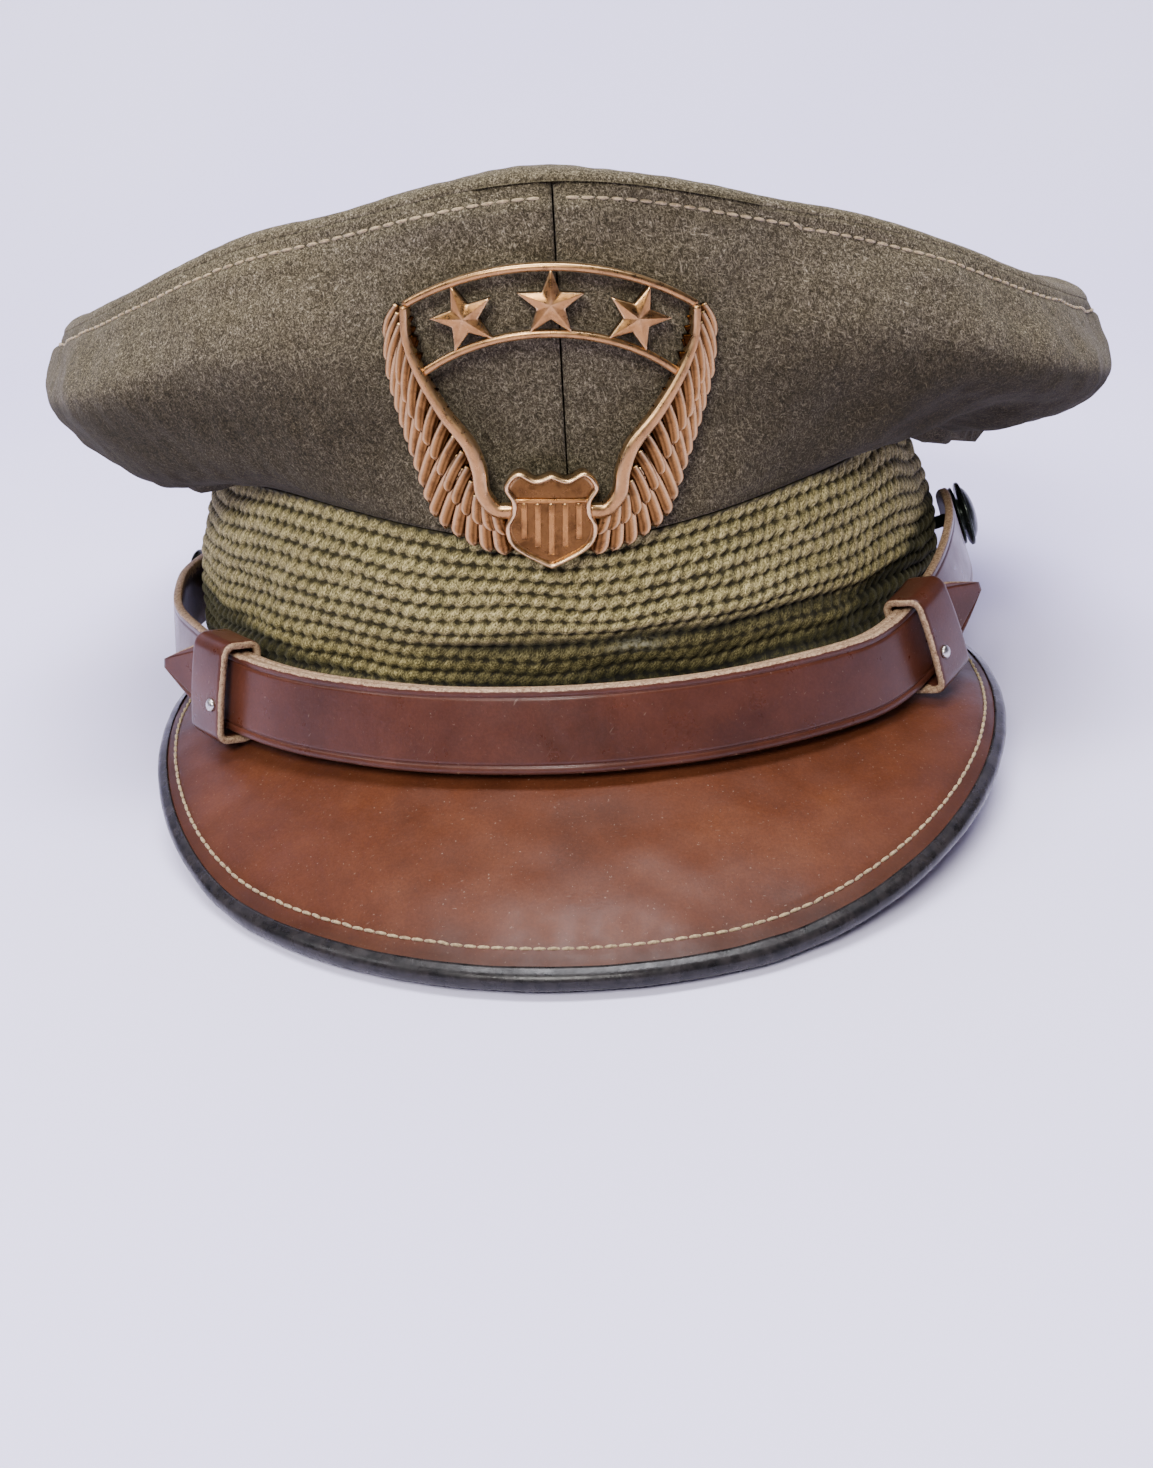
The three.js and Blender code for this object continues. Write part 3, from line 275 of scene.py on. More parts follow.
def normal_of(surface, u, v, step_u, step_v, outside):
    du = surface(u + step_u, v) - surface(u - step_u, v)
    dv = surface(u, np.minimum(v + step_v, 1)) - surface(u, np.maximum(v - step_v, 0))
    n = unit(np.cross(du, dv))
    wrong = np.sum(n * outside, -1, keepdims=True) < 0
    return np.where(wrong, -n, n)


def crown_normal(angle, share):
    return normal_of(crown_side, angle, share, 1.0, 0.01, crown_side(angle, share) * [1, 1, 0])


def waves(points, length, seed):
    """A smooth random field of about unit height whose features are the given length across."""
    rng = np.random.default_rng(seed)
    count = 10
    total = 0
    for _ in range(count):
        way = unit(rng.normal(size=3))
        turn = rng.uniform(0.7, 1.4) * 2 * math.pi / length
        total = total + np.cos(points @ way * turn + rng.uniform(0, 2 * math.pi))
    return total / math.sqrt(count / 2)


# Meshes are gathered as shells. Each vertex carries three values that the materials read: braid height, raw
# edges and wear, and also painted shade and painted highlight.

class Piece:
    def __init__(self):
        self.points = []
        self.quads = []
        self.tris = []
        self.values = []
        self.count = 0

    def shell(self, points, quads, tris=None, values=(0, 0, 0)):
        points = np.asarray(points, float).reshape(-1, 3)
        values = np.broadcast_to(np.asarray(values, float), points.shape)
        self.quads.append(quads + self.count)
        if tris is not None:
            self.tris.append(tris + self.count)
        self.points.append(points)
        self.values.append(values)
        self.count += len(points)

    def finish(self, name, looks, node, slot):
        points = to_world(np.concatenate(self.points))
        quads = np.concatenate(self.quads)
        tris = np.concatenate(self.tris) if self.tris else np.zeros((0, 3), int)
        mesh = bpy.data.meshes.new(name)
        mesh.vertices.add(len(points))
        mesh.vertices.foreach_set("co", points.astype(np.float32).ravel())
        loops = np.concatenate([quads.ravel(), tris.ravel()])
        starts = np.concatenate([np.arange(len(quads)) * 4, len(quads) * 4 + np.arange(len(tris)) * 3])
        mesh.loops.add(len(loops))
        mesh.loops.foreach_set("vertex_index", loops.astype(np.int32))
        mesh.polygons.add(len(starts))
        mesh.polygons.foreach_set("loop_start", starts.astype(np.int32))
        mesh.update(calc_edges=True)
        mesh.validate()
        # The finish attribute holds these values, painted shade and painted highlight among them.
        held = mesh.attributes.new("finish", "FLOAT_VECTOR", "POINT")
        held.data.foreach_set("vector", np.concatenate(self.values).astype(np.float32).ravel())
        work = bmesh.new()
        work.from_mesh(mesh)
        bmesh.ops.recalc_face_normals(work, faces=work.faces)
        work.to_mesh(mesh)
        work.free()
        mesh.polygons.foreach_set("use_smooth", np.full(len(mesh.polygons), True))
        mesh.materials.append(looks)
        made = bpy.data.objects.new(name, mesh)
        bpy.context.scene.collection.objects.link(made)
        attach(made, "root")
        if node:
            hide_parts(node)


def to_world(points):
    c, s = math.cos(LEAN), math.sin(LEAN)
    x, y, z = points[..., 0], points[..., 1], points[..., 2]
    return (vec(x, y * c - z * s, y * s + z * c) + PLACE) / 1000


def grid_quads(rows, columns, wrap=False, wrap_rows=False):
    i = np.arange(rows if wrap_rows else rows - 1)[:, None]
    j = np.arange(columns if wrap else columns - 1)[None, :]
    down = (i + 1) % rows
    right = (j + 1) % columns
    corners = [i * columns + j, i * columns + right, down * columns + right, down * columns + j]
    return np.stack(np.broadcast_arrays(*corners), -1).reshape(-1, 4)


def bridge(fine, coarse):
    """Triangles between two chains of vertices, the first with a whole number of times more steps."""
    fine = np.asarray(fine)
    coarse = np.asarray(coarse)
    ratio = (len(fine) - 1) // (len(coarse) - 1)
    fans = np.stack([fine[:-1], fine[1:], np.repeat(coarse[:-1], ratio)], 1)
    joins = np.stack([fine[ratio::ratio], coarse[1:], coarse[:-1]], 1)
    return np.concatenate([fans, joins])


def wall(piece, outer, inner, wrap, values, inner_values=(0, 0, 0)):
    """A closed wall between a fine outer sheet and a coarser inner one."""
    rows, columns = outer.shape[:2]
    rows_in, columns_in = inner.shape[:2]
    base = rows * columns
    quads = [grid_quads(rows, columns, wrap), grid_quads(rows_in, columns_in, wrap) + base]
    across = np.arange(columns + 1) % columns if wrap else np.arange(columns)
    across_in = np.arange(columns_in + 1) % columns_in if wrap else np.arange(columns_in)
    tris = [
        bridge(across, base + across_in),
        bridge((rows - 1) * columns + across, base + (rows_in - 1) * columns_in + across_in),
    ]
    if not wrap:
        down = np.arange(rows) * columns
        down_in = base + np.arange(rows_in) * columns_in
        tris.append(bridge(down, down_in))
        tris.append(bridge(down + columns - 1, down_in + columns_in - 1))
    points = np.concatenate([outer.reshape(-1, 3), inner.reshape(-1, 3)])
    inside = np.broadcast_to(np.array(inner_values, float), (rows_in * columns_in, 3))
    held = np.concatenate([np.broadcast_to(values, (rows, columns, 3)).reshape(-1, 3), inside])
    piece.shell(points, np.concatenate(quads), np.concatenate(tris), held)


def tube(piece, rings, values):
    """A closed tube through rings of points, its ends filled."""
    count, sides = rings.shape[:2]
    points = np.concatenate([rings.reshape(-1, 3), rings[0].mean(0)[None], rings[-1].mean(0)[None]])
    held = np.broadcast_to(values, (count, sides, 3)).reshape(-1, 3)
    held = np.concatenate([held, held[:1], held[-1:]])
    j = np.arange(sides)
    following = (j + 1) % sides
    first = np.stack([j, following, np.full(sides, count * sides)], 1)
    base = (count - 1) * sides
    last = np.stack([base + j, base + following, np.full(sides, count * sides + 1)], 1)
    piece.shell(points, grid_quads(count, sides, True), np.concatenate([first, last]), held)


def revolve(piece, profile, sides, base, out, values):
    """A profile of (radius, height) turned about an axis from base along out. It starts and ends on
    the axis, or closes on itself."""
    out = unit(np.asarray(out, float))
    side = unit(np.cross(out, [0.0, 0.31, 0.95]))
    other = np.cross(out, side)
    turn = np.arange(sides) / sides * 2 * math.pi
    ring = np.cos(turn)[:, None] * side + np.sin(turn)[:, None] * other
    closed = profile[0] == profile[-1]
    rows = profile[:-1] if closed else profile[1:-1]
    rings = np.stack([base + ring * r + out * h for r, h in rows])
    if closed:
        piece.shell(rings, grid_quads(len(rows), sides, True, True), None, values)
        return
    tips = np.stack([base + out * profile[0][1], base + out * profile[-1][1]])
    points = np.concatenate([rings.reshape(-1, 3), tips])
    j = np.arange(sides)
    following = (j + 1) % sides
    low = np.stack([j, following, np.full(sides, len(rows) * sides)], 1)
    top = (len(rows) - 1) * sides
    high = np.stack([top + j, top + following, np.full(sides, len(rows) * sides + 1)], 1)
    piece.shell(points, grid_quads(len(rows), sides, True), np.concatenate([low, high]), values)


def along_line(line, run, places):
    return np.stack([np.interp(places, run, line[:, k]) for k in range(3)], 1)


def stitch_places(line, pitch, *held):
    """Middles and ways of the stitches along a line, and what else is held along it."""
    run = np.concatenate([[0], np.cumsum(np.linalg.norm(np.diff(line, axis=0), axis=1))])
    places = np.arange(1.5, run[-1] - 1.5, pitch)
    centres = along_line(line, run, places)
    ways = unit(along_line(line, run, places + 0.8) - centres)
    return centres, ways, *(np.interp(places, run, values) for values in held)


def stitches(piece, centres, along, out, length, radius, lift):
    """Short lengths of thread, each a slender closed grain lying on the surface."""
    sides = 6
    shape = [(-0.5, 0.35), (-0.36, 0.85), (0, 1), (0.36, 0.85), (0.5, 0.35)]
    across = unit(np.cross(out, along))
    turn = np.arange(sides) / sides * 2 * math.pi
    for k in range(len(centres)):
        rings = []
        for place, thick in shape:
            middle = centres[k] + along[k] * place * length + out[k] * (lift - abs(place) * 0.35)
            flat = across[k] * np.cos(turn)[:, None] + out[k] * np.sin(turn)[:, None]
            rings.append(middle + flat * radius * thick)
        tube(piece, np.stack(rings), (0, 0, 0))


# Materials, all made of noise in the object's own coordinates and of the values on the vertices.

class Look:
    def __init__(self, name):
        self.material = bpy.data.materials.new(name)
        self.material.use_nodes = True
        self.tree = self.material.node_tree
        self.tree.nodes.clear()
        self.output = self.node("ShaderNodeOutputMaterial")
        self.place = self.node("ShaderNodeTexCoord").outputs["Object"]
        # The finish attribute brings in painted shade and painted highlight as well as raw edges, wear and
        # height.
        held = self.node("ShaderNodeAttribute")
        held.attribute_name = "finish"
        parts = self.node("ShaderNodeSeparateXYZ", Vector=held.outputs["Vector"])
        self.first, self.second, self.third = parts.outputs

    def node(self, kind, **inputs):
        made = self.tree.nodes.new(kind)
        for name, value in inputs.items():
            self.feed(made.inputs[name.replace("_", " ")], value)
        return made

    def feed(self, socket, value):
        if isinstance(value, bpy.types.NodeSocket):
            self.tree.links.new(value, socket)
        else:
            socket.default_value = value

    def noise(self, size, detail, rough, stretch=None, twist=0.0):
        """Noise whose features are the given size in millimetres."""
        place = self.place
        if stretch:
            place = self.node("ShaderNodeMapping", Vector=place, Scale=stretch).outputs[0]
        made = self.node("ShaderNodeTexNoise", Vector=place)
        made.inputs["Scale"].default_value = 1000 / size
        made.inputs["Detail"].default_value = detail
        made.inputs["Roughness"].default_value = rough
        made.inputs["Distortion"].default_value = twist
        return made.outputs[0]

    def fibres(self, size, length, turn, detail=2.0):
        """Noise drawn out into fibres along a turned axis."""
        place = self.node("ShaderNodeMapping", Vector=self.place)
        place.vector_type = "TEXTURE"
        place.inputs["Rotation"].default_value = turn
        place.inputs["Scale"].default_value = (length / size, 1, 1)
        made = self.node("ShaderNodeTexNoise", Vector=place.outputs[0])
        made.inputs["Scale"].default_value = 1000 / size
        made.inputs["Detail"].default_value = detail
        made.inputs["Distortion"].default_value = 0.35
        return made.outputs[0]

    def tint(self, share, colour, by):
        """The colour times another, by a share."""
        return self.mix(share, colour, self.mix(1.0, colour, by, "MULTIPLY"))

    def ramp(self, value, *stops):
        made = self.node("ShaderNodeValToRGB", Fac=value)
        bar = made.color_ramp.elements
        for k, (place, colour) in enumerate(stops):
            stop = bar[k] if k < 2 else bar.new(place)
            stop.position = place
            stop.color = grey(colour)
        return made.outputs[0]

    def mix(self, share, a, b, kind="MIX"):
        made = self.tree.nodes.new("ShaderNodeMix")
        made.data_type = "RGBA"
        made.blend_type = kind
        self.feed(made.inputs[0], share)
        self.feed(made.inputs[6], a if isinstance(a, bpy.types.NodeSocket) else grey(a))
        self.feed(made.inputs[7], b if isinstance(b, bpy.types.NodeSocket) else grey(b))
        return made.outputs[2]

    def sum(self, kind, a, b, clamp=False):
        made = self.tree.nodes.new("ShaderNodeMath")
        made.operation = kind
        made.use_clamp = clamp
        self.feed(made.inputs[0], a)
        self.feed(made.inputs[1], b)
        return made.outputs[0]

    def remap(self, value, low, high, to_low=0.0, to_high=1.0):
        made = self.tree.nodes.new("ShaderNodeMapRange")
        self.feed(made.inputs[0], value)
        for k, number in enumerate((low, high, to_low, to_high)):
            made.inputs[k + 1].default_value = number
        return made.outputs[0]

    def bump(self, height, distance, strength, under=None):
        made = self.tree.nodes.new("ShaderNodeBump")
        made.inputs["Strength"].default_value = strength
        made.inputs["Distance"].default_value = distance / 1000
        self.feed(made.inputs["Height"], height)
        if under is not None:
            self.feed(made.inputs["Normal"], under)
        return made.outputs[0]

    def surface(self, colour, rough, normal=None, **fixed):
        shader = self.node("ShaderNodeBsdfPrincipled")
        self.feed(shader.inputs["Base Color"], colour)
        self.feed(shader.inputs["Roughness"], rough)
        if normal is not None:
            self.feed(shader.inputs["Normal"], normal)
        for name, value in fixed.items():
            shader.inputs[name.replace("_", " ")].default_value = value
        self.tree.links.new(shader.outputs[0], self.output.inputs[0])
        return self.material


def grey(colour):
    if isinstance(colour, (int, float)):
        return (colour, colour, colour, 1)
    return tuple(colour) + (1,) if len(colour) == 3 else colour


def wool_look():
    """Felted wool, light and dark fibres lying every way. The first value is painted shade that darkens it.
    """
    look = Look("wool")
    dark = (0.034, 0.028, 0.0165)
    middle = (0.118, 0.098, 0.063)
    light = (0.33, 0.285, 0.2)
    ways = [(0, 0.3, 0.2), (0.2, 1.35, 0.5), (0, 2.4, -0.4), (0.3, 0.2, 1.4), (1.2, 1.0, 0.9)]
    fibres = look.fibres(0.3, 1.3, ways[0])
    for way in ways[1:]:
        fibres = look.sum("MAXIMUM", fibres, look.fibres(0.3, 1.3, way))
    salt = look.ramp(fibres, (0.53, dark), (0.76, light), (0.635, middle))
    flecks = look.noise(0.9, 4, 0.7, twist=0.4)
    salt = look.tint(look.remap(flecks, 0.56, 0.4, 0, 0.6), salt, (0.4, 0.38, 0.33))
    patches = look.noise(4.5, 4, 0.65)
    tinted = look.tint(look.remap(patches, 0.56, 0.38, 0, 0.55), salt, (0.68, 0.66, 0.6))
    broad = look.noise(38, 2, 0.5)
    lit = look.tint(look.remap(broad, 0.35, 0.7, 0, 0.4), tinted, (1.2, 1.16, 1.06))
    # Painted shade from the first value.
    shown = look.tint(look.first, lit, (0.2, 0.18, 0.15))
    coarse = look.bump(look.noise(1.3, 3, 0.65, twist=0.4), 0.25, 0.5)
    normal = look.bump(fibres, 0.2, 0.75, coarse)
    return look.surface(
        shown, 0.97, normal, Sheen_Weight=0.08, Sheen_Roughness=0.6, Sheen_Tint=(0.75, 0.7, 0.55, 1),
        Specular_IOR_Level=0.08,
    )


def braid_look():
    """Lustrous braid. The first value is its height, which also paints shade into the valleys; the second
    wears it white; the third is painted shade.
    """
    look = Look("braid")
    fine = look.fibres(0.28, 1.5, (0, -0.7, 0.3), 3)
    other = look.fibres(0.28, 1.5, (0, -0.5, 1.5), 3)
    fine = look.sum("MAXIMUM", fine, other)
    dark = (0.075, 0.058, 0.02)
    middle = (0.27, 0.22, 0.088)
    light = (0.58, 0.48, 0.235)
    strands = look.ramp(fine, (0.44, dark), (0.7, light), (0.57, middle))
    # Painted shade in the valleys between the lumps, from their height.
    deep = look.remap(look.first, 0.95, 0.3)
    valley_shaded = look.tint(deep, strands, (0.1, 0.095, 0.06))
    spots = look.remap(look.noise(4, 3, 0.6), 0.35, 0.7, 0, 0.5)
    lumps = look.tint(spots, valley_shaded, (0.7, 0.74, 0.6))
    rubbed = look.sum("MULTIPLY", look.second, look.remap(look.noise(1.2, 3, 0.7), 0.4, 0.6))
    worn = look.mix(rubbed, lumps, (0.5, 0.47, 0.34))
    # Painted shade from the third value.
    shown = look.tint(look.third, worn, (0.12, 0.125, 0.09))
    normal = look.bump(fine, 0.16, 0.8)
    return look.surface(
        shown, 0.8, normal, Sheen_Weight=0.12, Sheen_Roughness=0.5, Sheen_Tint=(0.8, 0.76, 0.5, 1),
        Specular_IOR_Level=0.2,
    )


def leather_look(name, deep, body, bright, rough, specks, gloss):
    """Glazed leather. The first value shows its raw tan edge and the second darkens it."""
    look = Look(name)
    clouds = look.noise(22, 5, 0.6, twist=0.3)
    base = look.ramp(clouds, (0.34, deep), (0.7, bright), (0.52, body))
    grain = look.noise(0.55, 4, 0.7)
    base = look.tint(look.remap(grain, 0.62, 0.4, 0, 0.5), base, (0.62, 0.58, 0.55))
    long_marks = look.fibres(0.6, 9, (0, 0.25, 0.1), 4)
    other_marks = look.fibres(0.6, 7, (0.2, -0.9, 0.3), 4)
    scratch = look.sum("MAXIMUM", look.remap(long_marks, 0.71, 0.78), look.remap(other_marks, 0.7, 0.77))
    spots = look.remap(look.noise(0.6, 2, 0.6), specks, specks + 0.06)
    marks = look.sum("ADD", look.sum("MULTIPLY", scratch, 0.3), look.sum("MULTIPLY", spots, 0.4), True)
    base = look.mix(marks, base, look.mix(0.6, bright, (0.44, 0.35, 0.28)))
    base = look.tint(look.second, base, (0.2, 0.19, 0.19))
    torn = look.noise(0.6, 4, 0.75, twist=0.5)
    raw = look.ramp(torn, (0.35, (0.12, 0.06, 0.032)), (0.7, (0.52, 0.36, 0.22)))
    ragged = look.sum("ADD", look.first, look.remap(look.noise(1.8, 3, 0.7), 0.35, 0.7, -0.3, 0.3))
    base = look.mix(look.remap(ragged, 0.45, 0.62), base, raw)
    shine = look.remap(look.noise(7, 4, 0.65), 0.35, 0.7, rough * 0.9, rough * 1.25)
    shine = look.sum("ADD", shine, look.sum("MULTIPLY", look.first, 0.35), True)
    pores = look.bump(grain, 0.04, 0.5)
    creases = look.bump(look.noise(2.6, 4, 0.7, twist=0.6), 0.09, 0.35, pores)
    normal = look.bump(marks, 0.03, 0.5, creases)
    return look.surface(base, shine, normal, Specular_IOR_Level=gloss)


def black_look():
    look = Look("black_binding")
    clouds = look.noise(2.5, 4, 0.65)
    base = look.ramp(clouds, (0.35, (0.006, 0.0055, 0.006)), (0.72, (0.026, 0.022, 0.022)))
    rubs = look.remap(look.noise(1.1, 5, 0.8, twist=0.7), 0.66, 0.76, 0, 0.5)
    base = look.mix(rubs, base, (0.10, 0.085, 0.08))
    rough = look.remap(look.noise(3, 4, 0.6), 0.35, 0.7, 0.2, 0.42)
    normal = look.bump(look.noise(1.4, 4, 0.7), 0.12, 0.5)
    return look.surface(base, rough, normal, Specular_IOR_Level=0.22)


def metal_look(name, deep, body, bright, rough, metallic=1.0):
    look = Look(name)
    clouds = look.noise(3.2, 4, 0.65, twist=0.4)
    base = look.ramp(clouds, (0.3, deep), (0.5, body))
    pits = look.remap(look.noise(0.5, 3, 0.7), 0.56, 0.7)
    base = look.mix(look.sum("MULTIPLY", pits, 0.55), base, deep)
    # The first value paints shade where it is low and the second paints a highlight in the bright colour.
    base = look.tint(look.remap(look.first, 0.95, 0.3), base, (0.07, 0.05, 0.035))
    base = look.mix(look.second, base, bright)
    shine = look.remap(look.noise(1.4, 4, 0.7), 0.35, 0.7, rough * 0.8, rough * 1.4)
    fine = look.bump(look.noise(0.35, 3, 0.7), 0.03, 0.5)
    normal = look.bump(look.noise(1.5, 3, 0.6), 0.08, 0.4, fine)
    return look.surface(base, shine, normal, Metallic=metallic, Specular_IOR_Level=0.5)


def thread_look(name, dark, light):
    look = Look(name)
    base = look.ramp(look.noise(0.5, 3, 0.7), (0.35, dark), (0.7, light))
    normal = look.bump(look.noise(0.25, 3, 0.7, stretch=(1, 0.4, 1)), 0.06, 0.8)
    return look.surface(base, 0.8, normal, Sheen_Weight=0.2)


WOOL = wool_look()
BRAID = braid_look()
PEAK_LEATHER = leather_look(
    "peak_leather", (0.066, 0.0185, 0.0075), (0.087, 0.0245, 0.0095), (0.108, 0.033, 0.013), 0.4, 0.69, 0.18
)
STRAP_LEATHER_LOOK = leather_look(
    "strap_leather", (0.046, 0.0135, 0.0072), (0.066, 0.0192, 0.0102), (0.09, 0.0275, 0.015), 0.3, 0.72, 0.28
)
BLACK = black_look()
BRONZE = metal_look("bronze", (0.14, 0.062, 0.02), (0.32, 0.15, 0.047), (0.74, 0.5, 0.26), 0.3)
DARK_METAL = metal_look(
    "dark_metal", (0.006, 0.008, 0.006), (0.022, 0.028, 0.022), (0.08, 0.1, 0.08), 0.3, metallic=0.7
)
STEEL = metal_look("steel", (0.16, 0.14, 0.12), (0.42, 0.39, 0.35), (0.75, 0.72, 0.68), 0.32)
TAN_THREAD = thread_look("tan_thread", (0.17, 0.115, 0.055), (0.46, 0.35, 0.19))


# The crown's side pieces: soft dents, seams rolled inwards, and on the wearer's left a deep fold
# where the cloth is caught up above the band.
def dents(points):
    return 0.75 * waves(points, 58, 3) + 0.32 * waves(points, 19, 4) + 0.1 * waves(points, 5, 5)


def fold_lift(angle):
    """How far the band's top and the cloth's foot are drawn up at the fold."""
    return FOLD_LIFT * bell(angle - FOLD_ANGLE, FOLD_SPAN)


def crown_side_shown(angle, share):
    return crown_side_and_shade(angle, share)[0]


def crown_fold(angle, share):
    """How the cloth is drawn up and in at the fold, and its crease and hollow as shares."""
    span = smooth((angle - 50) / 7) * smooth((84 - angle) / 14)
    crease = span * bell(share - 0.27, 0.06)
    hollow = bell(angle - 54, 9) * bell(share - 0.42, 0.1)
    lift = fold_lift(angle) * (1 - smooth((share - 0.28) / 0.35))
    return UP * lift[..., None], -1.0 * crease - 2.0 * hollow, crease, hollow


def crown_side_and_shade(angle, share):
    base = crown_side(angle, share)
    n = crown_normal(angle, share)
    edge = np.minimum(np.abs(angle), 180 - np.abs(angle)) * math.pi / 180 * 105
    reach = np.linalg.norm(crown_side(angle, np.ones_like(share)) - base, axis=-1)
    foot = np.linalg.norm(crown_side(angle, np.zeros_like(share)) - base, axis=-1)
    depth = dents(base) * smooth(foot / 5) * smooth(reach / 4)
    depth = depth - 0.9 * bell(edge, 1.3) - 0.35 * bell(reach, 0.9)
    depth = depth + 0.35 * bell(reach - 4.2, 2.2)
    depth = depth - 0.4 * bell(reach - TOPSTITCH_IN, 0.8)
    lift, drawn_in, crease, hollow = crown_fold(angle, share)
    moved = base + n * (depth + drawn_in)[..., None] + lift
    moved = moved + seam_direction(angle) * (SEAM_GAP * smooth((share - 0.96) / 0.04))[..., None]
    # Painted shade: darker on the underside and at the cloth's foot by the band, towards the sides, and in
    # the fold's crease and hollow.
    under = 0.85 * smooth((0.15 - n[..., 2]) / 0.7) + 0.25 * smooth((2.5 - foot) / 2.5)
    sides = 0.34 * smooth((np.abs(angle) - 35) / 45)
    return moved, np.clip(under + sides + 0.9 * crease + 0.6 * hollow, 0, 1)


def inside_of(angle, share):
    n = crown_normal(angle, share)
    lift, drawn_in, crease, hollow = crown_fold(angle, share)
    deep = drawn_in - CLOTH - 0.3 - 1.2 * np.maximum(crease, hollow)
    moved = crown_side(angle, share) + n * deep[..., None] + lift
    foot = oval_point(angle, 1.0, np.full(np.shape(angle), -float(CLOTH))) + UP * GAP + lift
    return np.where((share <= 0)[..., None], foot, moved)


def make_crown_side(side, name):
    piece = Piece()
    seam_angle = math.degrees(SEAM_GAP / 2 / TOP_HALF_WIDTH)
    fine = np.clip(np.linspace(0, 180, 337), seam_angle, 180 - seam_angle) * side
    plain = np.clip(np.linspace(0, 180, 57), seam_angle, 180 - seam_angle) * side
    shares = np.linspace(0, 1, 73)
    plain_shares = np.linspace(0, 1, 13)
    a, s = np.meshgrid(fine, shares)
    outer, shade = crown_side_and_shade(a, s)
    # The outer cloth carries painted shade as its first value.
    values = np.stack([shade, 0 * shade, 0 * shade], -1)
    a, s = np.meshgrid(plain, plain_shares)
    inner = inside_of(a, s)
    # The inside of the cloth is painted in deep shade.
    wall(piece, outer, inner, False, values, (0.8, 0, 0))
    piece.finish("cloth_" + name, WOOL, name, "wool")


def make_topstitch(side):
    """The row of stitches just below the seam of the crown's top."""
    piece = Piece()
    fine = np.linspace(1.2, 178.8, 1600) * side
    shares = np.linspace(0.8, 1, 41)
    a, s = np.meshgrid(fine, shares, indexing="ij")
    rows = crown_side(a, s)
    back = np.linalg.norm(rows - rows[:, -1:], axis=-1)
    near = np.argmin(np.abs(back - TOPSTITCH_IN), axis=1)
    share = shares[near]
    line = crown_side_shown(fine, share)
    centres, along, angles, held = stitch_places(line, 2.7, fine, share)
    stitches(piece, centres, along, crown_normal(angles, held), 2.2, 0.3, 0.22)
    word = "left" if side > 0 else "right"
    piece.finish("topstitch_" + word, TAN_THREAD, None, "wool")


def crown_top_shown(angle, share):
    base = crown_top(angle, share)
    n = normal_of(crown_top, angle, share, 1.0, 0.01, UP)
    reach = np.linalg.norm(base - crown_top(angle, np.zeros_like(share)), axis=-1)
    depth = dents(base + [7, 3, 0]) * smooth(reach / 6) * (0.6 + 0.5 * smooth(reach / 40))
    depth = depth - 0.3 * bell(reach, 0.9) + 0.3 * bell(reach - 3, 1.6)
    return base + n * depth[..., None]


def make_crown_top():
    piece = Piece()
    spokes, plain = 648, 108
    shares = np.concatenate([np.linspace(0, 0.3, 37), np.linspace(0.3, 0.985, 36)[1:]])
    fine = np.arange(spokes) / spokes * 360 - 180
    a, s = np.meshgrid(fine, shares)
    upper = crown_top_shown(a, s)
    coarse = np.arange(plain) / plain * 360 - 180
    low_shares = np.array([0, 0.05, 0.1, 0.16, 0.24, 0.36, 0.5, 0.7, 0.985])
    a, s = np.meshgrid(coarse, low_shares)
    n = normal_of(crown_top, a, s, 1.0, 0.01, UP)
    lower = crown_top(a, s) - n * CLOTH
    rim = inside_of(coarse, np.ones_like(coarse)) + seam_direction(coarse) * SEAM_GAP
    lower[0] = rim
    rows = len(shares)
    low_rows = len(low_shares)
    base = rows * spokes
    top = base + low_rows * plain
    middle = crown_top(np.array([0.0]), np.array([1.0]))
    points = np.concatenate([upper.reshape(-1, 3), lower.reshape(-1, 3), middle, middle - UP * CLOTH])
    quads = np.concatenate([grid_quads(rows, spokes, True), grid_quads(low_rows, plain, True) + base])
    j = np.arange(spokes)
    last = (rows - 1) * spokes
    cap = np.stack([last + j, last + (j + 1) % spokes, np.full(spokes, top)], 1)
    j = np.arange(plain)
    inner = base + (low_rows - 1) * plain
    under = np.stack([inner + j, inner + (j + 1) % plain, np.full(plain, top + 1)], 1)
    edge = bridge(np.arange(spokes + 1) % spokes, base + np.arange(plain + 1) % plain)
    piece.shell(points, quads, np.concatenate([cap, under, edge]))
    piece.finish("cloth_crown_top", WOOL, "crown_top", "wool")


# The band: rows of braid, each a string of small leaning lumps, staggered from row to row.
def braid_height(angle, rise):
    row = rise * BRAID_ROWS
    turn = (angle + 180) / 360 * BRAID_LUMPS
    height = np.zeros_like(turn)
    for k in (np.floor(row) - 1, np.floor(row), np.floor(row) + 1):
        across = row - k - 0.5
        place = turn - 0.5 * (k % 2) - 0.13 * np.sin(k * 2.7) - BRAID_SLANT * across
        for step in (-1, 0, 1):
            lump = np.floor(place) + step
            along = place - lump - 0.5
            jitter = np.sin(lump % BRAID_LUMPS * 12.9898 + k * 78.233) * 43758.5453
            jitter = jitter - np.floor(jitter)
            size = 0.88 + 0.26 * jitter
            lens = size - np.abs(along / 0.66) ** 1.5 - (across / 0.55) ** 2
            height = np.maximum(height, np.sqrt(np.clip(lens, 0, 2)))
    return height


def front_crease(angle, rise):
    """How strong the crease over the peak is, and how far above it a point lies."""
    span = smooth((angle + 28) / 18) * smooth((68 - angle) / 22)
    return span, rise - 0.49 + 0.0016 * np.abs(angle - BAND_FOLD_CENTRE)


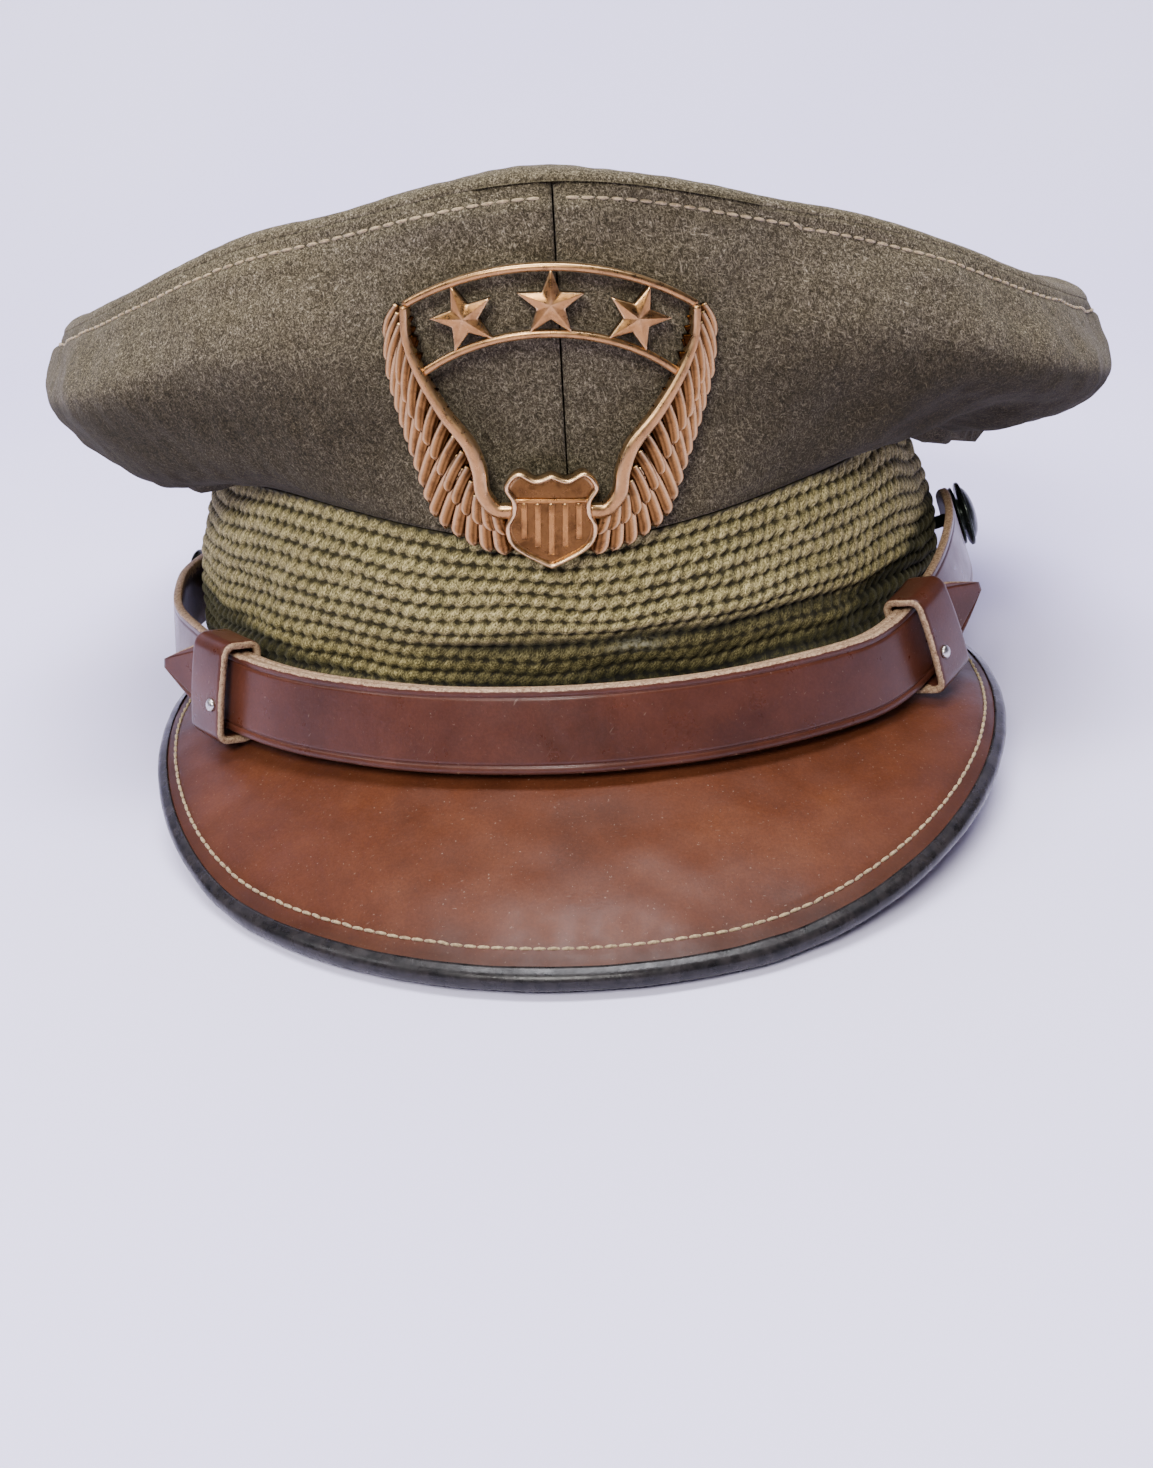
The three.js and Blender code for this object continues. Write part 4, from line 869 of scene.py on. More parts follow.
def band_shade(angle, rise):
    # Painted shade: in and below the crease over the peak, on the braid in the strap's shadow behind it out
    # to its ends, and under the crown's edge along the top.
    span, above = front_crease(angle, rise)
    crease = span * (0.95 * bell(above, 0.03) + 0.6 * smooth(-above / 0.05))
    low = smooth((np.abs(angle) - 20) / 28)
    from_strap = rise * band_top(angle) - strap_origin(angle[0])[:, 2]
    behind = smooth((STRAP_WIDTH / 2 + lerp(0.5, 2.5, low) - from_strap) / 3)
    behind = behind * smooth((from_strap + STRAP_WIDTH / 2 + 2) / 4)
    ends = strap_side(angle, 1) + STRAP_END
    foot = lerp(0.5, 1.0, low) * behind * smooth((ends + 2 - np.abs(angle)) / 5)
    return np.clip(crease + foot + 0.45 * bell(1 - rise, 0.03), 0, 1)


def make_band():
    """Two halves of the braid, right and left, over one plain inside."""
    rises = np.linspace(0, 1, BRAID_ROWS * 8 + 1)
    for side, word in ((-1, "right"), (1, "left")):
        piece = Piece()
        fine = np.linspace(0, 180, 673) * side
        plain = np.linspace(0, 180, 85) * side
        a, s = np.meshgrid(fine, rises)
        height = braid_height(a, s)
        calm = smooth(s / 0.02) * smooth((1 - s) / 0.02)
        wavy = 0.4 * waves(oval_point(a, s), 40, 11) + 0.18 * waves(oval_point(a, s), 9, 12)
        span, above = front_crease(a, s)
        rolled = 0.8 * bell(above - 0.11, 0.06)
        pressed = span * (-1.9 * bell(above, 0.045) + rolled)
        relief = BRAID_RELIEF * (1 - 0.45 * span * smooth(-above / 0.05))
        out = band_swell(a, s) + (relief * (height - 0.85) + wavy + pressed) * calm
        sag = 0.3 * waves(vec(a * 1.8, s * 0, s * BAND_HEIGHT), 26, 13) * np.sin(np.pi * s)
        outer = oval_point(a, s, out) + UP * (fold_lift(a) * s ** 3 + sag)[..., None]
        wear = bell(a - BAND_FOLD_CENTRE, 3.2) * bell(s - 0.44, 0.03)
        # The third value is painted shade from band_shade.
        values = np.stack([height, wear, band_shade(a, s)], -1)
        a, s = np.meshgrid(plain, np.linspace(0, 1, 11))
        inner = oval_point(a, s, band_swell(a, s) - BAND_WALL) + UP * (fold_lift(a) * s ** 3)[..., None]
        wall(piece, outer, inner, False, values)
        node = "band" if side > 0 else None
        piece.finish("band_" + word, BRAID, node, "braid")


# The peak
def peak_edge(u):
    turn = np.radians(u * PEAK_EDGE_SPAN)
    front = -(BOTTOM_HALF_LENGTH + PEAK_REACH)
    y = -PEAK_WIDEST_BACK + (front + PEAK_WIDEST_BACK) * np.cos(turn)
    rest = (BOTTOM_HALF_LENGTH - y) / (BOTTOM_HALF_LENGTH - front)
    flat = np.where(u > 0, PEAK_FLAT_LEFT, PEAK_FLAT_RIGHT)
    rising = 1 - smooth((np.abs(u) - flat) / (1 - flat))
    return vec(PEAK_HALF_WIDTH * np.sin(turn), y, -PEAK_DROP * rest * rising - PEAK_END_DROP)


def peak_root(u):
    root = oval_point(u * PEAK_ROOT_SPAN, 0.0, np.full(np.shape(u), -float(BAND_WALL)))
    root[..., 2] = -GAP
    return root


def peak_point(u, share):
    u, share = np.broadcast_arrays(np.asarray(u, float), np.asarray(share, float))
    root = peak_root(u)
    edge = peak_edge(u)
    point = lerp(root, edge, share[..., None])
    camber = PEAK_CAMBER * np.sin(np.pi * share) * np.cos(np.pi / 2 * u)
    span = np.linalg.norm(root - edge, axis=-1)
    seat = BAND_WALL / np.maximum(span, BAND_WALL * 1.5)
    clear = smooth((share - seat) / np.maximum(1 - seat, 0.1))
    z = lerp(root[..., 2], edge[..., 2], np.maximum(0, (share - seat) / (1 - seat)))
    point[..., 2] = z + camber * clear
    return point


def peak_off(u, share, distance):
    n = normal_of(peak_point, u, share, 0.01, 0.02, UP)
    return peak_point(u, share) + n * np.asarray(distance)[..., None]


def stitch_in(u):
    return lerp(4.9, 3.2, smooth((np.abs(u) - 0.3) / 0.5))


def peak_ripple(base, edge, share):
    ripple = 0.1 * waves(base, 34, 21) + 0.05 * waves(base, 11, 22)
    return ripple * smooth(edge / 4) * smooth(share / 0.15)


def make_peak():
    piece = Piece()
    u, s = np.meshgrid(np.linspace(-1, 1, 361), np.linspace(0, 1, 49))
    base = peak_point(u, s)
    edge = np.linalg.norm(base - peak_edge(u), axis=-1)
    groove = -0.22 * bell(edge - stitch_in(u), 0.5)
    top = peak_off(u, s, peak_ripple(base, edge, s) + groove)
    # Darker towards the peak's ends and next to its bound edge, in patches.
    darker_ends_and_edge = smooth((np.abs(u) - 0.6) / 0.4) * (0.35 + 0.25 * waves(base, 16, 23))
    darker_ends_and_edge = darker_ends_and_edge + 0.04 * waves(base, 9, 24) + 0.3 * bell(edge - 2.5, 2.2)
    darker_ends_and_edge = np.clip(darker_ends_and_edge + 0.25 * smooth((12 - edge) / 12), 0, 1)
    values = np.stack([0 * u, darker_ends_and_edge, 0 * u], -1)
    u, s = np.meshgrid(np.linspace(-1, 1, 91), np.linspace(0, 1, 13))
    under = peak_off(u, s, np.full(u.shape, -float(PEAK_WALL)))
    wall(piece, top, under, False, values)
    piece.finish("peak_leather", PEAK_LEATHER, "peak", "peak_leather")
    line_u = np.linspace(-0.93, 0.93, 1500)
    shares = np.linspace(0.2, 1, 401)
    u, s = np.meshgrid(line_u, shares, indexing="ij")
    rows = peak_point(u, s)
    back = np.linalg.norm(rows - rows[:, -1:], axis=-1)
    share = shares[np.argmin(np.abs(back - stitch_in(line_u)[:, None]), axis=1)]
    lift = peak_ripple(peak_point(line_u, share), stitch_in(line_u), share)
    line = peak_off(line_u, share, lift - 0.12)
    centres, along, at, held = stitch_places(line, 2.5, line_u, share)
    out = normal_of(peak_point, at, held, 0.01, 0.02, UP)
    seam = Piece()
    stitches(seam, centres, along, out, 2.25, 0.34, 0.16)
    seam.finish("peak_stitching", TAN_THREAD, None, "peak_leather")


def make_binding():
    """A rolled edge: a rounded channel that laps over both faces of the peak."""
    piece = Piece()
    u = np.linspace(-1, 1, 361)
    along = unit(peak_edge(np.minimum(u + 0.01, 1)) - peak_edge(np.maximum(u - 0.01, -1)))
    ones = np.ones_like(u)
    across = unit(peak_point(u, ones) - peak_off(u, ones, -PEAK_WALL * ones))
    out = unit(np.cross(along, across))
    origin = peak_off(u, ones, -PEAK_WALL / 2 * ones) + out * GAP
    h = BINDING_HEIGHT / 2 - 0.4
    turn = np.radians(np.linspace(-90, 90, 17))
    lap = np.linspace(-BINDING_LAP, 0, 4)[:-1]
    outer_a = np.concatenate([np.full(3, -h), h * np.sin(turn), np.full(3, h)])
    outer_o = np.concatenate([lap, 0.85 * BINDING_WIDTH * np.cos(turn), lap[::-1]])
    slot = PEAK_WALL / 2 + 0.1
    inner_a = np.concatenate([np.full(3, -slot), np.linspace(-slot, slot, 17), np.full(3, slot)])
    inner_o = np.concatenate([lap, np.zeros(17), lap[::-1]])
    ripple = 1 + 0.02 * waves(origin, 12, 31) - 0.14 * smooth((np.abs(u) - 0.3) / 0.5)
    outer = origin + across * (outer_a[:, None] * ripple)[..., None]
    outer = outer + out * (outer_o[:, None] * ripple)[..., None]
    inner = origin + across * inner_a[:, None, None] + out * inner_o[:, None, None]
    wall(piece, outer, inner, False, np.zeros((1, 1, 3)))
    piece.finish("rolled_edge", BLACK, "peak_binding", "black_binding")


# The strap
def strap_standoff(side):
    return STRAP_STANDOFF * table_column(STRAP_ROWS, side)


def peak_top_at(angle, out):
    u = np.clip(angle / PEAK_ROOT_SPAN, -1, 1)
    root = peak_root(u)
    points = peak_point(u[None], np.linspace(0, 1, 60)[:, None])
    far = np.linalg.norm((points - root)[..., :2], axis=-1)
    wanted = np.broadcast_to(out + BAND_WALL, u.shape)
    return np.array([np.interp(wanted[k], far[:, k], points[:, k, 2]) for k in range(len(u))])


def strap_side(angle, k):
    return np.where(angle > 0, STRAP_SIDES[1][k], STRAP_SIDES[-1][k])


def strap_origin(angle):
    angle = np.asarray(angle, float)
    side = np.abs(angle)
    climbs, button, rise = (strap_side(angle, k) for k in range(3))
    standoff = strap_standoff(side)
    climb = smooth((side - climbs) / (button - climbs))
    foot = peak_top_at(np.sign(angle) * np.minimum(side, 58), standoff + 0.5) + STRAP_FOOT
    height = lerp(foot + STRAP_WIDTH / 2, rise * BAND_HEIGHT, climb)
    return oval_point(angle, height / band_top(angle), standoff)


def strap_frame(angle):
    angle = np.asarray(angle, float)
    along = unit(strap_origin(angle + 0.5) - strap_origin(angle - 0.5))
    lean = np.radians(lerp(STRAP_LEAN, strap_side(angle, 3), smooth((np.abs(angle) - 35) / 30)))
    out = outward(angle) * np.cos(lean)[..., None] + UP * np.sin(lean)[..., None]
    across = unit(np.cross(out, along))
    across = np.where(across[..., 2:] < 0, -across, across)
    straight = unit(np.cross(along, across))
    straight = np.where(np.sum(straight * out, -1, keepdims=True) < 0, -straight, straight)
    return strap_origin(angle), across, straight


def raw_edge(x):
    """How raw the strap is at a share of its half width: most along its upper edge."""
    if abs(x) < 0.95:
        return 0.0
    return 1.0 if x > 0 else 0.3


def strap_section():
    """Corners of a leather strip as (across share, out share, raw edge), its face creased near both
    edges."""
    rows = []
    face = [-1, -0.985, -0.96, -0.9, -0.845, -0.82, -0.795, -0.77, -0.745, -0.7, -0.5, -0.25, 0]
    face = face + [-x for x in face[-2::-1]]
    for x in face:
        groove = 0.16 * bell(abs(x) - 0.795, 0.022)
        corner = 0.22 * max(0, (abs(x) - 0.955) / 0.045) ** 2
        rows.append((x, 1 - groove - corner, raw_edge(x)))
    for x in (1.0, 0.97, 0.5, 0, -0.5, -0.97, -1.0):
        rows.append((x, 0.12 if abs(x) == 1 else 0.0, raw_edge(x)))
    return np.array(rows)


def strap_sheet(piece, origin, across, out, low, half):
    """Sweeps the strap's section along frames. half is its half width at each."""
    section = strap_section()
    a = half[:, None] * section[None, :, 0]
    o = low + STRAP_LEATHER * section[None, :, 1] + 0 * a
    rings = origin[:, None] + across[:, None] * a[..., None] + out[:, None] * o[..., None]
    raw = np.broadcast_to(section[None, :, 2], a.shape)
    tube(piece, rings, np.stack([raw, a * 0, a * 0], -1))


def make_inner_strap():
    piece = Piece()
    start = -(STRAP_SIDES[-1][1] + STRAP_END)
    end = STRAP_SIDES[1][1] + STRAP_END
    angles = np.linspace(start, end, 321)
    origin, across, out = strap_frame(angles)
    to_end = np.minimum(angles - start, end - angles)
    half = STRAP_WIDTH / 2 * np.minimum(1, 0.35 + 0.65 * np.sqrt(np.clip(to_end / 7, 0, 1)))
    wavy = 0.12 * waves(origin, 25, 41)
    strap_sheet(piece, origin + out * wavy[:, None], across, out, 0.0, half)
    piece.finish("lower_strap", STRAP_LEATHER_LOOK, "strap_inner", "strap_leather")


def make_outer_strap():
    piece = Piece()
    steps = 240
    tip_steps = 24
    straight = KEEPER_ANGLE + (KEEPER_LENGTH / 2 + 1) * DEGREES_PER_MM
    angles = np.linspace(-straight, straight, steps + 1)
    origin, across, out = strap_frame(angles)
    half = np.full(len(angles), STRAP_WIDTH / 2)
    pieces = []
    for near, before in ((0, 1), (steps, steps - 1)):
        ahead = unit(origin[near] - origin[before])
        ahead = unit(ahead + out[near] * math.tan(math.radians(STRAP_TIP_SPLAY)))
        shares = np.linspace(0, 1, tip_steps + 1)[1:]
        places = origin[near] + ahead * (shares * STRAP_TIP_LENGTH)[:, None]
        taper = (1 - 0.88 * shares ** 1.15) * STRAP_WIDTH / 2
        frames = [np.repeat(v[near][None], tip_steps, 0) for v in (across, out)]
        pieces.append((places, *frames, taper))
    first, last = pieces
    origin = np.concatenate([first[0][::-1], origin, last[0]])
    across = np.concatenate([first[1], across, last[1]])
    out = np.concatenate([first[2], out, last[2]])
    half = np.concatenate([first[3][::-1], half, last[3]])
    wavy = 0.15 * waves(origin, 30, 42)
    strap_sheet(piece, origin + out * wavy[:, None], across, out, LAYER_STEP, half)
    piece.finish("upper_strap", STRAP_LEATHER_LOOK, "strap_outer", "strap_leather")


def make_keeper(side, word):
    """A leather strip bent into a loop round both layers of the strap."""
    piece = Piece()
    high = STRAP_WIDTH / 2 + KEEPER_MARGIN
    back = -GAP - 0.1
    front = LAYER_STEP + STRAP_LEATHER + KEEPER_SLACK
    corners = 1.4
    path = []
    middles = [(high - corners, front - corners, 0), (-high + corners, front - corners, 90),
               (-high + corners, back + corners, 180), (high - corners, back + corners, 270)]
    for x, y, start in middles:
        for turn in np.radians(np.linspace(start, start + 90, 9)):
            c, s = math.cos(turn), math.sin(turn)
            path.append((x + corners * c, y + corners * s, c, s))
    path = dense(path, 0.8)
    along = [-1, -0.97, -0.9, -0.8, -0.6, -0.3, 0, 0.3, 0.6, 0.8, 0.9, 0.97, 1]
    section = [(x, 1 - 0.3 * max(0, (abs(x) - 0.9) / 0.1) ** 2, float(abs(x) > 0.96)) for x in along]
    section.append((1.0, 0.5, 1.0))
    section += [(x, 0.04, float(abs(x) > 0.9)) for x in (0.99, 0.5, 0, -0.5, -0.99)]
    section.append((-1.0, 0.5, 1.0))
    section = np.array(section)
    angle = side * (KEEPER_ANGLE + section[:, 0] * KEEPER_LENGTH / 2 * DEGREES_PER_MM)
    origin, across, out = strap_frame(angle)
    bow = 0.35 * np.cos(np.clip(path[:, 0] / high, -1, 1) * math.pi / 2) * (path[:, 1] > back + 2)
    push = section[None, :, 1] * KEEPER_LEATHER
    a = path[:, None, 0] + path[:, None, 2] * push
    o = path[:, None, 1] + path[:, None, 3] * push + bow[:, None]
    points = origin[None] + across[None] * a[..., None] + out[None] * o[..., None]
    values = np.stack([a * 0 + section[:, 2], a * 0, a * 0], -1)
    quads = grid_quads(len(path), len(section), True, True)
    piece.shell(points, quads, None, values.reshape(-1, 3))
    piece.finish("loop_" + word, STRAP_LEATHER_LOOK, "keeper_" + word, "strap_leather")


def dome(radius, height, steps):
    return [(radius * math.cos(t), height * math.sin(t)) for t in np.linspace(0, math.pi / 2, steps)]


def make_rivet(side, word):
    piece = Piece()
    origin, across, out = strap_frame(np.array([side * float(KEEPER_ANGLE)]))
    face = LAYER_STEP + STRAP_LEATHER + KEEPER_SLACK + KEEPER_LEATHER
    forward = unit(np.cross(out, across)) * side
    base = (origin - across * 0.16 * STRAP_WIDTH + forward * RIVET_FORWARD + out * face)[0]
    shank = 0.55 * RIVET_RADIUS
    head = [(r, 0.45 + h) for r, h in dome(RIVET_RADIUS, 0.75, 8)]
    profile = [(0, -KEEPER_LEATHER), (shank, -KEEPER_LEATHER), (shank, 0.3), (RIVET_RADIUS, 0.3)] + head
    profile[-1] = (0, profile[-1][1])
    revolve(piece, profile, 32, base, out[0], (1, 0.3, 0))
    piece.finish("rivet_head_" + word, STEEL, "rivet_" + word, "steel")


def make_button(side, word):
    piece = Piece()
    button, rise = STRAP_SIDES[side][1], STRAP_SIDES[side][2]
    origin, _, out = strap_frame(np.array([side * float(button)]))
    base = (origin + out * (STRAP_LEATHER + GAP))[0]
    swell = float(band_swell(np.array([side * float(button)]), np.array([rise]))[0])
    reach = float(strap_standoff(np.array([float(button)]))[0]) - swell + STRAP_LEATHER
    r = BUTTON_RADIUS
    shank = BUTTON_SHANK_RADIUS
    profile = [(0, -reach + GAP), (shank, -reach + GAP), (shank, 0), (0.84 * r, 0.1), (0.9 * r, 0.3),
               (0.9 * r, 0.75), (0.5 * r, 1.0), (0.5 * r, 1.5), (0.95 * r, 1.65), (r, 1.9), (r, 2.4),
               (0.97 * r, 2.65), (0.91 * r, 2.6), (0.88 * r, 2.3)]
    turns = np.linspace(0.1, math.pi / 2, 10)
    crown = [(0.86 * r * math.cos(t), 2.2 + (BUTTON_DOME - 0.9) * math.sin(t)) for t in turns]
    profile = profile + crown
    profile[-1] = (0, profile[-1][1])
    revolve(piece, profile, 72, base, out[0], (1, 0, 0))
    piece.finish("domed_button_" + word, DARK_METAL, "button_" + word, "dark_metal")


# The badge is drawn flat, x across and y up with its back at z = 0, then bent round the cap's front.
WING_EDGE = [(-27.6, 21.6), (-27.4, 15.5), (-25, 9), (-20.5, 1.5), (-15.8, -4.5), (-13.9, -9.5),
             (-13.2, -14.2), (-10.6, -17.4), (-7.5, -17.6)]
FEATHER_ROOTS = [(-28.2, 21.4), (-27.6, 19), (-26.9, 15), (-25.8, 11), (-24.2, 7), (-21.6, 1.5),
                 (-18.6, -3.5), (-16.2, -8), (-14.9, -12), (-12.8, -16), (-9.2, -18.6)]
FEATHER_TIPS = [(-30.6, 14.5), (-30.6, 8.2), (-29.4, 3), (-28, -2), (-26.6, -6.5), (-25.4, -11),
                (-24.2, -15.8), (-22.4, -20.4), (-18.4, -23.4), (-13.4, -25.8), (-8.4, -26.8)]
COVERT_ROOTS = [(-26.9, 16.5), (-25.4, 10.8), (-22.4, 5), (-19, -0.5), (-16, -6), (-14.4, -11),
                (-12.8, -15.2), (-9.6, -17.8)]
COVERT_TIPS = [(-28.3, 6.5), (-26.4, 0.8), (-24.2, -3.6), (-22, -8.4), (-20, -14), (-17, -18.2),
               (-12.6, -21), (-8.2, -22.4)]
SHIELD_MIDDLE = np.array([0, -18.5])
SHIELD_HALF_WIDTH = 9
SHIELD_HALF_HEIGHT = 10.5
SHIELD_OUTLINE = [(0, 0.84), (-0.36, 0.74), (-0.74, 0.88), (-1, 0.62), (-0.84, 0.34), (-0.84, 0.08),
                  (-0.98, -0.2), (-0.9, -0.5), (-0.62, -0.72), (0, -1)]
WING_EDGE_WIDTH = 2.8
LONG_FEATHERS = 17
SHORT_FEATHERS = 13
ARCH_HALF_WIDTH = 27.6
ARCH_FOOT = 21.8
ARCH_TOP = 29.6
ARCH_DEPTH = 12.4
ARCH_BAR = 1.5
STAR_SINK = 0.5
PLATE_BEVEL = 0.3


def plan_curve(points, share):
    """A smooth curve through flat points, at shares of it."""
    p = np.array(points, float)
    p = np.concatenate([2 * p[:1] - p[1:2], p, 2 * p[-1:] - p[-2:-1]])
    place = np.clip(share, 0, 1) * (len(points) - 1)
    i = np.minimum(np.floor(place).astype(int), len(points) - 2)
    t = (place - i)[:, None]
    return catmull(p[i], p[i + 1], p[i + 2], p[i + 3], t)


def badge_frame():
    low, here, high = (crown_side(0.0, share) for share in (0.08, 0.5, 0.9))
    upward = unit(high - low)
    across = np.array([1.0, 0, 0])
    out = np.cross(across, upward)
    origin = here + upward * (BADGE_RISE - here[2]) / upward[2] + out * BADGE_STANDOFF
    return origin + across * BADGE_SHIFT, across, upward, out


def badge_place(points):
    origin, across, upward, out = badge_frame()
    turn = points[..., 0] * BADGE_SCALE / BADGE_BEND_RADIUS
    radius = BADGE_BEND_RADIUS + points[..., 2]
    x = radius * np.sin(turn)
    y = points[..., 1] * BADGE_SCALE
    z = radius * np.cos(turn) - BADGE_BEND_RADIUS
    c, s = math.cos(-math.radians(BADGE_TURN)), math.sin(-math.radians(BADGE_TURN))
    px, py = x * c - y * s, x * s + y * c
    return origin + across * px[..., None] + upward * py[..., None] + out * z[..., None]


def feather(piece, root, tip, width, low, high, bow, mirror):
    """A rounded feather whose top slopes across it, with a fine ridge down its middle."""
    length, across_steps = 22, 16
    s = np.linspace(0, 1, length)
    w = np.linspace(-1, 1, across_steps + 1)
    along = tip - root
    side = np.array([-along[1], along[0]]) / np.linalg.norm(along)
    size = np.linalg.norm(along)
    round_share = min(0.4, 0.5 * width / size)
    taper = np.sqrt(np.clip(1 - (np.clip(s - (1 - round_share), 0, 1) / round_share) ** 2, 0.0, 1))
    taper = np.maximum(taper, 0.06)
    middle = root + along * s[:, None] + side * (bow * np.sin(math.pi * s))[:, None]
    plan = middle[:, None] + side * (w[None, :, None] * taper[:, None, None] * width / 2)
    edge = np.sqrt(np.clip(1 - w ** 2, 0, 1))[None, :]
    slope = lerp(high, low, (w[None, :] + 1) / 2)
    groove = (0.5 - 0.5 * np.cos(w * math.pi * 4))[None, :]
    barbs = 0.02 * np.sin(s[:, None] * size * 5.2 + np.abs(w)[None, :] * 3)
    top = slope * (0.8 + 0.2 * edge) + (barbs - 0.12 * groove) * edge + 0 * s[:, None]
    top = top * (0.8 + 0.2 * taper[:, None])
    flip = -1 if mirror else 1
    upper = np.stack([plan[..., 0] * flip, plan[..., 1], top], -1)
    coarse = plan[::3, ::4]
    under = np.stack([coarse[..., 0] * flip, coarse[..., 1], np.zeros(coarse.shape[:2])], -1)
    # Painted shine: darker down the feather's lower side, in its grooves and towards its root. Painted
    # glint: a highlight along its upper edge and at its tip.
    shine = np.clip(1.1 - (w[None, :] + 1) / 2 * 0.9 - 0.3 * groove, 0, 1)
    shine = shine * (0.55 + 0.45 * smooth(s[:, None] * 2))
    glint = 0.45 * bell(w[None, :] + 0.8, 0.15)
    glint = glint + 0.25 * smooth((s[:, None] - 0.9) / 0.1) * edge
    values = np.stack([shine, np.clip(glint, 0, 1), 0 * shine], -1)
    wall(piece, badge_place(upper), badge_place(under), False, values)


def ribbon(piece, line, width, height, glint, mirror=False):
    """A bar of even width along a line in the badge's plane, its top rounded."""
    flip = -1 if mirror else 1
    along = unit(np.gradient(line, axis=0))
    side = np.stack([-along[:, 1], along[:, 0]], 1)
    turn = np.radians(np.linspace(0, 180, 11))
    section_x = np.concatenate([[1, 1], np.cos(turn), [-1, -1]])
    section_z = np.concatenate([[0, 0.3], 0.72 + 0.28 * np.sin(turn), [0.3, 0]])
    wide = np.broadcast_to(width, len(line))[:, None]
    plan = line[:, None] + side[:, None] * (section_x * wide / 2)[..., None]
    z = height * section_z[None, :] + 0 * plan[..., 0]
    rings = np.stack([plan[..., 0] * flip, plan[..., 1], z], -1)
    # Painted highlight along its rounded sides, painted shade at its foot.
    bright = np.broadcast_to(np.clip(glint * np.abs(section_x) ** 3 + 0.1, 0, 1)[None, :], z.shape)
    low = np.broadcast_to(np.clip(section_z * 1.6, 0, 1)[None, :], z.shape)
    tube(piece, badge_place(rings), np.stack([low, bright, 0 * z], -1))


def arch_curve(lowered, share):
    rise = ARCH_TOP - ARCH_FOOT
    radius = (ARCH_HALF_WIDTH ** 2 + rise ** 2) / (2 * rise)
    inner = radius - lowered
    reach = math.asin(ARCH_HALF_WIDTH / radius) * (1.17 if lowered else 1)
    turn = share * reach
    return np.stack([inner * np.sin(turn), ARCH_TOP - radius + inner * np.cos(turn)], -1), turn


def plate(piece, outline, height, middle, shine=1.0):
    """A flat piece with a bevelled rim, for outlines that see all their corners from the middle."""
    # Painted shade at its foot and a painted highlight along the bevel.
    levels = [(1, 0, 0.2, 0), (1, height - PLATE_BEVEL, shine, 0),
              (0.97, height - 0.35 * PLATE_BEVEL, shine, 0.8), (0.91, height, shine, 0),
              (0.5, height, shine, 0)]
    stacked(piece, outline, middle, levels)


def stacked(piece, outline, middle, levels):
    """A raised form from copies of its outline as (scale, height, first value, second value): the first is
    painted shine, low where shaded, the second a painted highlight.
    """
    rings = []
    values = []
    for scale, z, low, bright in levels:
        p = middle + (outline - middle) * scale
        rings.append(np.concatenate([p, np.full((len(p), 1), z)], 1))
        values.append(np.full((len(p), 3), (low, bright, 0)))
    tube(piece, badge_place(np.stack(rings)), np.stack(values))


def dense(outline, step):
    """A closed outline with more points, so that no step in its plane is much longer."""
    outline = np.array(outline, float)
    made = []
    for i in range(len(outline)):
        a, b = outline[i], outline[(i + 1) % len(outline)]
        count = max(1, int(np.linalg.norm((b - a)[:2]) / step))
        made.extend(lerp(a, b, k / count) for k in range(count))
    return np.array(made)


def shield_outline(shrink):
    size = np.array([SHIELD_HALF_WIDTH, SHIELD_HALF_HEIGHT]) - shrink
    left = SHIELD_MIDDLE + np.array(SHIELD_OUTLINE) * size
    half = plan_curve(left, np.linspace(0, 1, 61))
    return np.concatenate([half, half[1:-1][::-1] * [-1, 1]])


